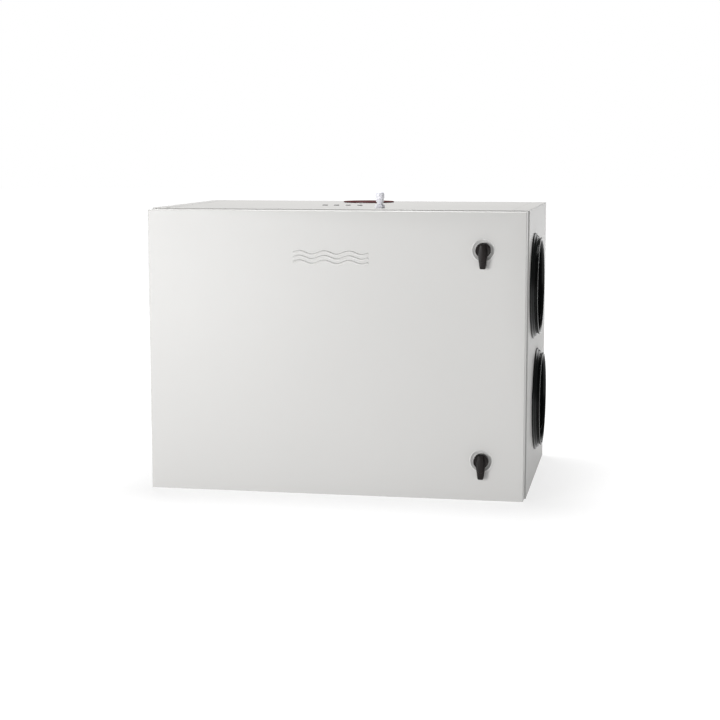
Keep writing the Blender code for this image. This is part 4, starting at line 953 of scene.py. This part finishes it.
def hood_fittings():
    """The sheet collar of the hood connection and the red cap that plugs it."""
    centre = middle("hood_cap")
    place = (centre.x, centre.y, TOP)
    bore, sleeve, flange, depth, plug = 0.0625, 0.0643, 0.0685, 0.044, 0.020
    outline = [(bore, -depth), (sleeve, -depth), (sleeve, -0.026), (0.0650, -0.024)]
    outline += [(sleeve, -0.022), (sleeve, GAP), (flange, GAP), (flange, 0.0009), (bore, 0.0009)]
    ring = turned("hood_ring", soften(outline, 0.0003, 2), place, UPWARDS)
    settle(ring, "zinc", "casing", ["hood_collar"])
    outline = [(0, 0.0009), (0.0586, 0.0009), (0.0586, -plug), (0.0616, -plug), (0.0616, 0.0012)]
    outline += [(0.0715, 0.0012), (0.0715, 0.0024), (0.0704, 0.0034), (0.0600, 0.0034)]
    outline += [(0.0590, 0.0029), (0.0575, 0.0029), (0.0565, 0.0034), (0, 0.0034)]
    lid = turned("hood_lid", soften(outline, 0.0006, closed=False), place, UPWARDS, FINE)
    settle(lid, "cap", "hood_plug", ["hood_cap"])


def grommets():
    """Four rubber cable entries on one strip under the top sheet."""
    low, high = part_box("grommet_strip")
    first, step, radius = -0.077, 0.0317, 0.0072
    base = TOP - SHEET - GAP
    root = base - TOP - 0.001
    work = bmesh.new()
    block(work, (low.x, low.y, base - 0.003), (high.x, high.y, base), 0.001)
    outline = [(0, root), (radius, root), (radius, 0.0012), (0.0066, 0.0026)]
    outline += [(0.0040, 0.0035), (0.0026, 0.0035), (0.0018, 0.0024), (0, 0.0024)]
    for i in range(4):
        place = (first + step * i, (low.y + high.y) / 2, TOP)
        lathe(work, soften(outline, 0.0006, closed=False), place, UPWARDS, SMALL)
    settle(("cable_entries", work), "grommet", "casing", ["grommet_strip"])


def gland():
    """A cable gland of milky plastic: a hexagon on the sheet, a threaded neck and the dome nut."""
    centre = middle("gland_nut")
    place = Vector((centre.x, centre.y, TOP))
    bore, root, crest, pitch, depth = 0.0045, 0.0073, 0.0080, 0.0015, 0.024
    work = bmesh.new()
    outline = [(0.0062, GAP), (0.0121, GAP), (0.0127, 0.0010), (0.0127, 0.0078), (0.0118, 0.009)]
    outline += [(0.0062, 0.009)]
    lathe(work, outline, place, UPWARDS, 6)
    thread = [(bore, -depth)]
    for i in range(18):
        thread += [(root, -depth + i * pitch), (crest, pitch / 2 - depth + i * pitch)]
    thread += [(0.0070, 0.0045), (0.0070, 0.031), (bore, 0.031)]
    lathe(work, thread, place, UPWARDS, SMALL)
    settle(("gland_neck", work), "gland", "casing", ["gland_body"])
    nut = 0.0074
    outline = [(nut, 0.015), (0.0092, 0.015), (0.0092, 0.0225), (0.0106, 0.0245), (0.0114, 0.0280)]
    outline += [(0.0114, 0.0345), (0.0102, 0.0395), (0.0070, 0.0426), (bore, 0.043), (bore, 0.033)]
    outline += [(nut, 0.033)]
    dome = turned("gland_dome", soften(outline, 0.0010), place, UPWARDS, 48)
    settle(dome, "gland", "casing", ["gland_nut"])
    low, high = Vector((0.0088, -0.0008, 0.0158)), Vector((0.0100, 0.0008, 0.0222))
    rib = boxed("gland_ribs", place + low, place + high, 0.0003)
    ribs = RING.apply(rib, "gland", count=14, centre=place, axis=UPWARDS)
    settle(ribs, "gland", "casing")


hood_fittings()
grommets()
gland()

# ---- Heat wheel --------------------------------------------------------------------------------

# Half widths along the axle, radii, and the radii of the belt's centre line.
WHEEL_HALF = 0.090
WHEEL_RADIUS = 0.225
CORE_HALF = 0.0872
HUB_RADIUS = 0.0350
BEARING_SEAT = 0.0166
BELT_RADII = (0.2284, 0.0214)


def tube(work, inner, outer, start, end, centre, edge=0.0006, sides=SMOOTH):
    """A plain ring on the X axis with softened rims."""
    outline = [(inner, start), (outer, start), (outer, end), (inner, end)]
    lathe(work, soften(outline, edge), centre, ALONG, sides)


def bolt_circle(centre, radius, count, facing, start=0.0):
    """Evenly spaced (place, facing) pairs on a circle about the X axis."""
    angles = [start + 2 * pi * k / count for k in range(count)]
    return [(centre + Vector((0, radius * cos(a), radius * sin(a))), facing) for a in angles]


def wheel_body():
    """The cast hub, the wound foil and the rim band with its flanges."""
    end, chamfer, seat = WHEEL_HALF, 0.0875, 0.0785
    outline = [(BEARING_SEAT, -end), (0.030, -end), (HUB_RADIUS, -chamfer), (HUB_RADIUS, chamfer)]
    outline += [(0.030, end), (BEARING_SEAT, end), (BEARING_SEAT, seat), (0.0140, seat)]
    outline += [(0.0140, -seat), (BEARING_SEAT, -seat)]
    hub = turned("hub_casting", soften(outline, 0.0012), HUB, ALONG)
    settle(hub, "hub", "rotor", ["rotor_hub"])
    work = bmesh.new()
    tube(work, HUB_RADIUS + 0.0002, 0.2206, -CORE_HALF, CORE_HALF, HUB)
    settle(("foil_core", work), "foil", "rotor", ["rotor_matrix"])
    lip, band = 0.2170, 0.2205
    outline = [(0.2212, -end), (lip, -end), (lip, -0.0888), (band, -0.0880), (band, 0.0880)]
    outline += [(lip, 0.0888), (lip, end), (0.2212, end), (WHEEL_RADIUS, 0.0885), (WHEEL_RADIUS, -0.0885)]
    rim = turned("rim_band", soften(outline, 0.0008), HUB, ALONG, FINE)
    settle(rim, "zinc", "rotor", ["rotor_rim"])


def wheel_face(name, side):
    """One face of the wheel: wound hoops, bearing, hub bolts and six spokes."""
    way = (side, 0, 0)
    face = Matrix.Translation(HUB + Vector(way) * CORE_HALF) @ Matrix.Rotation(pi / 2, 4, "Y")
    start = points_of(name + "_windings", [((0, 0, 0), ALONG)])
    sizes = {"count": 52, "inner_radius": 0.0375, "pitch": 0.0035, "ridge": 0.00075, "segments": 72}
    hoops = HOOP.apply(start, "foil", **sizes)
    hoops.data.transform(face)
    settle(hoops, "foil", "rotor")
    work = bmesh.new()
    low, high = sorted((side * WHEEL_HALF, side * 0.079))
    tube(work, 0.0062, 0.0085, low, high, HUB, 0.0004, SMALL)
    tube(work, 0.0135, 0.0160, low, high, HUB, 0.0004, SMALL)
    tube(work, 0.0084, 0.0136, low + 0.0012, high - 0.0012, HUB, 0.0004, SMALL)
    settle((name + "_race", work), "steel", "rotor", [name + "_bearing"])
    bolts = bolt_circle(HUB + Vector(way) * WHEEL_HALF, 0.0235, 6, way)
    screws(name + "_hub_bolts", bolts, "rotor", radius=0.0034, height=0.0016)
    place = HUB + Vector(way) * 0.0888
    low, high = Vector((-0.0006, -0.006, 0.0335)), Vector((0.0006, 0.006, 0.2185))
    spoke = boxed(name + "_spokes", place + low, place + high, 0.0005)
    spokes = RING.apply(spoke, "zinc", count=6, centre=place, axis=ALONG)
    settle(spokes, "zinc", "rotor")


def axle():
    """The fixed axle of the wheel, with a head on one side of the housing."""
    head, rod, wall = 0.008, 0.006, HOUSE_FACE + GAP
    tip = HOUSE_FACE + 0.008
    outline = [(0, -tip), (0.0072, -tip), (head, -tip + 0.0008), (head, -wall)]
    outline += [(rod, -wall), (rod, tip - 0.001), (0.005, tip), (0, tip)]
    pin = turned("axle_pin", soften(outline, 0.0005, closed=False), HUB, ALONG, SMALL)
    settle(pin, "steel", "casing", ["rotor_axle"])


def belt(centre):
    """The round belt, on two arcs with straight runs between them."""
    large, small = BELT_RADII
    towards = atan2(centre.z - HUB.z, centre.y - HUB.y)
    distance = (centre - HUB).length
    spread = atan2(sqrt(distance**2 - (large - small) ** 2), large - small)
    wheel_steps, pulley_steps = 96, 24
    points = []
    for i in range(wheel_steps + 1):
        angle = towards + spread + (2 * pi - 2 * spread) * i / wheel_steps
        points.append((0, HUB.y + large * cos(angle), HUB.z + large * sin(angle)))
    for i in range(pulley_steps + 1):
        angle = towards - spread + 2 * spread * i / pulley_steps
        points.append((0, centre.y + small * cos(angle), centre.z + small * sin(angle)))
    work = bmesh.new()
    sweep(work, points, circle(0.0025), ALONG, closed=True)
    settle(("belt_loop", work), "seal", "casing", ["drive_belt"], 60)


def pulley(centre):
    """The grooved pulley on the motor's shaft."""
    bore, flange, groove, half = 0.0042, 0.0225, 0.0180, 0.0049
    outline = [(bore, -half), (flange, -half), (flange, -0.0041), (groove, -0.0026)]
    outline += [(groove, 0.0026), (flange, 0.0041), (flange, half), (0.0160, half)]
    outline += [(0.0150, 0.0036), (0.0095, 0.0036), (0.0085, half), (bore, half)]
    made = turned("pulley_wheel", soften(outline, 0.0005), centre, ALONG, MEDIUM)
    settle(made, "latch", "pulley", ["drive_pulley"])


def gear_motor(centre):
    """The ribbed motor that drives the wheel, with its gear case and shaft."""
    case, body, shaft = 0.030, 0.0272, 0.004
    outline = [(0, -0.0982), (0.0285, -0.0982), (case, -0.0970), (case, -0.0930), (body, -0.0915)]
    outline += [(body, -0.0420), (case, -0.0405), (case, -0.0290), (0.0288, -0.0282)]
    outline += [(0.0135, -0.0282), (0.0135, -0.0105), (shaft, -0.0105), (shaft, 0.0068), (0, 0.0068)]
    made = turned("gear_motor", soften(outline, 0.0008, closed=False), centre, ALONG, MEDIUM)
    settle(made, "motor", "casing", ["drive_motor"])
    place = centre + Vector((-0.067, 0, 0.0283))
    low, high = Vector((-0.026, -0.0009, -0.0020)), Vector((0.026, 0.0009, 0.0015))
    rib = boxed("gear_motor_ribs", place + low, place + high, 0.0004)
    ribs = RING.apply(rib, "motor", count=24, centre=centre, axis=ALONG)
    settle(ribs, "motor", "casing")
    bolts = bolt_circle(centre + Vector((-0.0282, 0, 0)), 0.0235, 4, ALONG, pi / 4)
    screws("gear_motor_bolts", bolts, "casing", radius=0.0030, height=0.0018)


def housing_details():
    """Rivets and a brush seal round the openings of the wheel's housing."""
    rivets = []
    for _, side in SIDES:
        face = HUB + Vector((side * HOUSE_FACE, 0, 0))
        rivets += bolt_circle(face, 0.2315, 20, (side, 0, 0), pi / 20)
    screws("housing_rivets", rivets, "casing", radius=0.0028, height=0.0014)
    for name, side in SIDES:
        work = bmesh.new()
        tube(work, 0.2185, 0.2325, -0.0040, 0.0035, HUB + Vector((side * 0.0946, 0, 0)), 0.001)
        settle((name + "_brush_seal", work), "bristle", "casing")


wheel_body()
for name, side in SIDES:
    wheel_face(name, side)
axle()
belt(middle("drive_pulley"))
pulley(middle("drive_pulley"))
gear_motor(middle("drive_pulley"))
housing_details()

# ---- Fans --------------------------------------------------------------------------------------

# Distances from the middle of the unit to the faces of the bulkhead and of the motor carrier.
WALL_FACES = (0.150, 0.152)
CARRIER_FACES = (0.245, 0.248)
POST_REACH = 0.0834


def fan_frame(name, side, hub, axis):
    """The bulkhead with its nozzle, four posts and the perforated motor carrier."""
    plate = name + "_fan_plate"
    low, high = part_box(plate)
    near, far = sorted(side * face for face in WALL_FACES)
    wall = boxed(name + "_bulkhead", (near, low.y, low.z), (far, high.y, high.z), 0.0004)
    wall = carve(wall, cutting_rod(0.0785, hub, axis, 0.14, 0.16, SMOOTH))
    settle(wall, "zinc", "casing", [plate])
    work = bmesh.new()
    outline = [(0.0745, 0.1490), (0.0825, 0.1490), (0.0825, 0.1528), (0.0770, 0.1530), (0.0690, 0.1580)]
    outline += [(0.0642, 0.1640), (0.0638, 0.170), (0.0620, 0.170), (0.0622, 0.1625), (0.0655, 0.1560)]
    lathe(work, soften(outline, 0.0012), hub, axis)
    posts = [hub + Vector((0, sy * POST_REACH, sz * POST_REACH)) for sy in (-1, 1) for sz in (-1, 1)]
    foot, rod = 0.0062, 0.0045
    shape = [(0, 0.151), (foot, 0.151), (foot, 0.156), (rod, 0.158), (rod, 0.239)]
    shape += [(foot, 0.241), (foot, 0.2455), (0, 0.2455)]
    for post in posts:
        lathe(work, soften(shape, 0.0008, closed=False), post, axis, TINY)
    settle((name + "_nozzle", work), "zinc", "casing", [plate])
    work = bmesh.new()
    reach = POST_REACH + 0.010
    corners = rectangle((hub.y - reach, hub.z - reach), (hub.y + reach, hub.z + reach))
    slab(work, soften(corners, 0.012), "X", *(side * face for face in CARRIER_FACES), 0.0004)
    tools = [cutting_rod(0.016, hub, axis, 0.23, 0.26)]
    for spot, _ in bolt_circle(hub, 0.072, 8, axis, pi / 8):
        tools.append(cutting_rod(0.013, spot, axis, 0.23, 0.26))
    carrier = carve(object_of(name + "_carrier", work), *tools)
    settle(carrier, "zinc", "casing", [plate])
    ends = []
    for post in posts:
        ends.append((post + Vector((side * CARRIER_FACES[1], 0, 0)), axis))
        ends.append((post + Vector((side * WALL_FACES[0], 0, 0)), (-side, 0, 0)))
    screws(name + "_fan_screws", ends, "casing", radius=0.0052, height=0.0022)


def fan_motor(name, side, hub, axis):
    """The ribbed motor on the carrier, with its shaft."""
    shaft, neck, case, body = 0.004, 0.0145, 0.045, 0.0420
    outline = [(0, 0.219), (shaft, 0.219), (shaft, 0.239), (neck, 0.239), (neck, 0.2483)]
    outline += [(0.043, 0.2483), (case, 0.2500), (case, 0.2560), (body, 0.2575), (body, 0.2960)]
    outline += [(case, 0.2975), (case, 0.3040), (0.039, 0.3103), (0.014, 0.3103), (0.012, 0.3080)]
    outline += [(0, 0.3080)]
    made = turned(name + "_motor_case", soften(outline, 0.0012, closed=False), hub, axis)
    settle(made, "motor", "casing", [name + "_fan_motor"])
    near, far = sorted((side * 0.2570, side * 0.2965))
    low, high = (near, hub.y - 0.0009, hub.z + 0.0412), (far, hub.y + 0.0009, hub.z + 0.0447)
    rib = boxed(name + "_motor_ribs", low, high, 0.0004)
    ribs = RING.apply(rib, "motor", count=32, centre=hub, axis=ALONG)
    settle(ribs, "motor", "casing")


def impeller(name, side, hub, axis):
    """The shroud with its flared eye, the back plate with its boss, and seven swept blades."""
    body, rim, eye, bore = name + "_wheel", 0.100, 0.0660, 0.0041
    work = bmesh.new()
    shroud = [(eye, 0.165), (0.0680, 0.165), (0.0680, 0.1715), (0.0740, 0.1770), (rim, 0.177)]
    shroud += [(rim, 0.179), (0.0730, 0.179), (eye, 0.1725)]
    lathe(work, soften(shroud, 0.0024), hub, axis)
    back = [(bore, 0.219), (0.0125, 0.219), (0.014, 0.2205), (0.0145, 0.2310), (0.0180, 0.233)]
    back += [(rim, 0.233), (rim, 0.235), (bore, 0.235)]
    lathe(work, soften(back, 0.0006), hub, axis)
    settle((name + "_discs", work), "impeller", body, [name + "_impeller"])
    root, span, swept, steps = 0.0607, 0.0373, radians(48), 12
    outer, inner = [], []
    for i in range(steps + 1):
        share = i / steps
        radius = root + span * share
        angle = -swept * share**0.9
        half = (0.0013 - 0.0006 * abs(2 * share - 1) ** 3) / radius
        outer.append((hub.y + radius * cos(angle + half), hub.z + radius * sin(angle + half)))
        inner.append((hub.y + radius * cos(angle - half), hub.z + radius * sin(angle - half)))
    work = bmesh.new()
    slab(work, outer + inner[::-1], "X", side * 0.178, side * 0.234)
    blades = RING.apply(object_of(name + "_blades", work), "impeller", count=7, centre=hub, axis=ALONG)
    settle(blades, "impeller", body, angle=50)


for name, side in (("exhaust", 1), ("supply", -1)):
    centre = middle(name + "_impeller")
    placing = (name, side, Vector((0, centre.y, centre.z)), (side, 0, 0))
    fan_frame(*placing)
    fan_motor(*placing)
    impeller(*placing)

# ---- Filters, heater and controls --------------------------------------------------------------


def air_filter(name):
    """A filter cartridge: card frame, pleated cloth, two stays on each face and a pull tab."""
    low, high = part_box(name)
    centre = (low + high) / 2
    near, border, past, tuck = low.y + 0.0015, 0.015, 0.01, 0.002
    start = (low.x - past, near + border, low.z + border)
    end = (high.x + past, high.y - border, high.z - border)
    card = boxed(name + "_card", (low.x, near, low.z), high, 0.0010)
    card = carve(card, boxed("cutter", start, end))
    settle(card, "card", "casing", [name])
    length, height = end[1] - start[1], end[2] - start[2]
    sizes = {"folds": 44, "depth": 0.038, "sheet": 0.0009}
    sizes.update(length=length + 2 * tuck, height=height + 2 * tuck)
    media = PLEAT.apply(points_of(name + "_media", [((0, 0, 0), ALONG)]), "media", **sizes)
    media.data.transform(Matrix.Translation((centre.x, (start[1] + end[1]) / 2, centre.z)))
    settle(media, "media", "casing", angle=20)
    work = bmesh.new()
    for side in (-1, 1):
        for share in (0.33, 0.67):
            x, z = centre.x + side * 0.0208, start[2] + height * share
            corner = (x + 0.0008, end[1] + tuck, z + 0.004)
            block(work, (x - 0.0008, start[1] - tuck, z - 0.004), corner, 0.0003)
    settle((name + "_stays", work), "card", "casing")
    work = bmesh.new()
    half, tall, grip = 0.012, 0.030, 0.008
    shape = rectangle((centre.x - half, centre.z - tall), (centre.x + half, centre.z + tall))
    slab(work, soften(shape, 0.005), "Y", near + 0.001, low.y + 0.0001, 0.0004)
    for rise in (-0.018, 0, 0.018):
        corner = (centre.x - grip, low.y - 0.0004, centre.z + rise - 0.001)
        block(work, corner, (centre.x + grip, near, centre.z + rise + 0.001), 0.0003)
    settle((name + "_tab", work), "latch", "casing")


def heater():
    """The heating rod in level passes, the fins threaded on it and its two end fittings."""
    low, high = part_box("heater_rod")
    rod, rows, steps = 0.004, 5, 16
    x, y0, y1 = (low.x + high.x) / 2, low.y, high.y - rod
    z0, z1 = low.z + rod, high.z - rod
    bend = (z1 - z0) / (2 * rows)
    points, passes = [Vector((x, y0, z0))], []
    for row in range(rows):
        sign = 1 if row % 2 == 0 else -1
        turn = y1 - bend if sign > 0 else y0 + rod + bend
        level = z0 + bend * (2 * row + 1)
        passes.append((points[-1], Vector((x, turn, points[-1].z))))
        for i in range(steps + 1):
            angle = -pi / 2 + pi * i / steps
            points.append(Vector((x, turn + sign * bend * cos(angle), level + bend * sin(angle))))
    points.append(Vector((x, y0, z1)))
    passes.append((points[-2], points[-1]))
    work = bmesh.new()
    sweep(work, points, circle(rod), ALONG)
    settle(("heating_rod", work), "copper", "casing", ["heater_rod"], 60)
    runs = edges_of("heater_fins", [(a.lerp(b, 0.06), a.lerp(b, 0.97)) for a, b in passes])
    fins = FIN.apply(runs, "steel", pitch=0.006, fin_radius=0.0100, fin_thickness=0.0005)
    settle(fins, "steel", "casing", angle=30)
    work = bmesh.new()
    collar, neck = 0.0068, 0.0052
    outline = [(0, -0.0005), (0.0060, -0.0005), (collar, 0.0012), (collar, 0.007), (neck, 0.0085)]
    outline += [(neck, 0.016), (0, 0.016)]
    for end in (points[0], points[-1]):
        lathe(work, soften(outline, 0.0006, closed=False), end, INWARDS, SMALL)
    settle(("heater_ends", work), "gland", "casing")


# The parts of the board: finish, then (left, near, right, far, height) as shares of the space on it.
BOARD_PARTS = {
    "transformer": ("motor", ((0.12, 0.24, 0.48, 0.44, 0.62), (0.17, 0.21, 0.43, 0.47, 0.48))),
    "relays": ("relay", ((0.60, 0.26, 0.70, 0.36, 0.52), (0.74, 0.26, 0.84, 0.36, 0.52))),
    "chips": ("latch", ((0.20, 0.56, 0.44, 0.66, 0.10), (0.62, 0.43, 0.82, 0.51, 0.12))),
    "plugs": ("terminal", ((0.10, 0.06, 0.90, 0.13, 0.24), (0.14, 0.78, 0.46, 0.88, 0.30))),
    "covers": ("dish", ((0.58, 0.62, 0.86, 0.84, 0.36),)),
}

# Rows of pins: place as shares of the space, then count, step and half width.
BOARD_ROWS = {
    "board_clamps": ((0.12, 0.095, 0.24), 18, 0.0072, 0.0022),
    "board_pins": ((0.21, 0.552, 0.0), 12, 0.0034, 0.0006),
    "board_more_pins": ((0.21, 0.668, 0.0), 12, 0.0034, 0.0006),
}


def controls():
    """The circuit board with its parts, and the screws that hold the tray and its cover."""
    low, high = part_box("controller_board")
    stand, card = 0.008, 0.0016
    floor = low.z + stand
    top = floor + card
    span = Vector((high.x - low.x, high.y - low.y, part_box("controller_tray")[1].z - top))

    def spot(across, along, rise=0.0):
        return Vector((low.x + span.x * across, low.y + span.y * along, top + span.z * rise))

    work = bmesh.new()
    block(work, (low.x, low.y, floor), (high.x, high.y, top), 0.0003)
    foot = -stand - card
    pillar = [(0, foot), (0.003, foot), (0.003, 0.0008), (0, 0.0008)]
    for across in (0.05, 0.95):
        for along in (0.04, 0.96):
            lathe(work, pillar, spot(across, along), UPWARDS, 12)
    settle(("circuit_card", work), "circuit", "casing", ["controller_board"])
    sink = Vector((0, 0, 0.0005))
    for name, (look, boxes) in BOARD_PARTS.items():
        work = bmesh.new()
        for left, near, right, far, tall in boxes:
            block(work, spot(left, near) - sink, spot(right, far, tall), 0.0010)
        settle(("board_" + name, work), look, "casing")
    work = bmesh.new()
    can = 0.0048
    outline = [(0, -sink.z), (can, -sink.z), (can, 0.0150), (0.0040, 0.0158), (0, 0.0155)]
    for across, along in ((0.50, 0.30), (0.52, 0.40), (0.48, 0.72), (0.90, 0.62)):
        lathe(work, soften(outline, 0.0005, closed=False), spot(across, along), UPWARDS, TINY)
    settle(("board_capacitors", work), "relay", "casing")
    for name, (shares, count, step, half) in BOARD_ROWS.items():
        place = spot(*shares)
        one, two = place - Vector((half, half, 0.0002)), place + Vector((half, half, 0.0008))
        row = ROW.apply(boxed(name, one, two, 0.0002), "steel", count=count, step=(step, 0, 0))
        settle(row, "steel", "casing")
    low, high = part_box("controller_cover")
    face, inset_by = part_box("controller_tray")[0].y - SHEET - GAP, 0.008
    heads = [
        ((x, face, z), (0, -1, 0))
        for x in (low.x + inset_by, high.x - inset_by)
        for z in (low.z + inset_by, high.z - inset_by)
    ]
    screws("cover_screws", heads, "casing", radius=0.0036, height=0.0018)


air_filter("extract_filter")
air_filter("outdoor_filter")
heater()
controls()

# ---- Room, light and camera --------------------------------------------------------------------


def lamp(name, place, aim, size, power):
    """A soft rectangular light."""
    data = bpy.data.lights.new(name, "AREA")
    data.shape = "RECTANGLE"
    data.size, data.size_y = size
    data.energy = power
    made = placed(name, data)
    made.location = place
    made.rotation_euler = (Vector(aim) - Vector(place)).to_track_quat("-Z", "Y").to_euler()
    made.visible_camera = False


def room():
    """A pale floor that glows more with distance, and an even pale room that looks white."""
    work = bmesh.new()
    bmesh.ops.create_circle(work, cap_ends=True, segments=96, radius=FLOOR_RADIUS)
    floor = object_of("floor", work)
    made = Finish("floor_paint", (0.30, 0.30, 0.30), 0.9)
    grain = made.noise(8, 4)
    reach = made.node("ShaderNodeVectorMath", {"operation": "LENGTH"}, {0: made.place}, "Value")
    glow = made.ramp(reach / GLOW_REACH, (0.25, FLOOR_GLOW), (0.60, 1.0))
    made.set({"Roughness": grain * 0.1 + 0.85, "Emission Color": glow, "Emission Strength": 1.0})
    floor.data.materials.append(made.material)
    world = bpy.data.worlds.new("room")
    bpy.context.scene.world = world
    world.use_nodes = True
    net = Net(world.node_tree)
    seen = net.node("ShaderNodeLightPath", output="Is Camera Ray")
    shade = world.node_tree.nodes["Background"]
    shade.inputs["Color"].default_value = (1, 1, 1, 1)
    net.feed(shade.inputs["Strength"], seen * (1.0 - ROOM_LIGHT) + ROOM_LIGHT)


def camera():
    data = bpy.data.cameras.new("camera")
    data.lens = CAMERA_LENS
    made = placed("camera", data)
    made.location = CAMERA_PLACE
    made.rotation_euler = CAMERA_TILT
    bpy.context.scene.camera = made
    bpy.context.scene.view_settings.view_transform = "Standard"


room()
camera()
for name, setting in LAMPS.items():
    lamp(name, *setting)
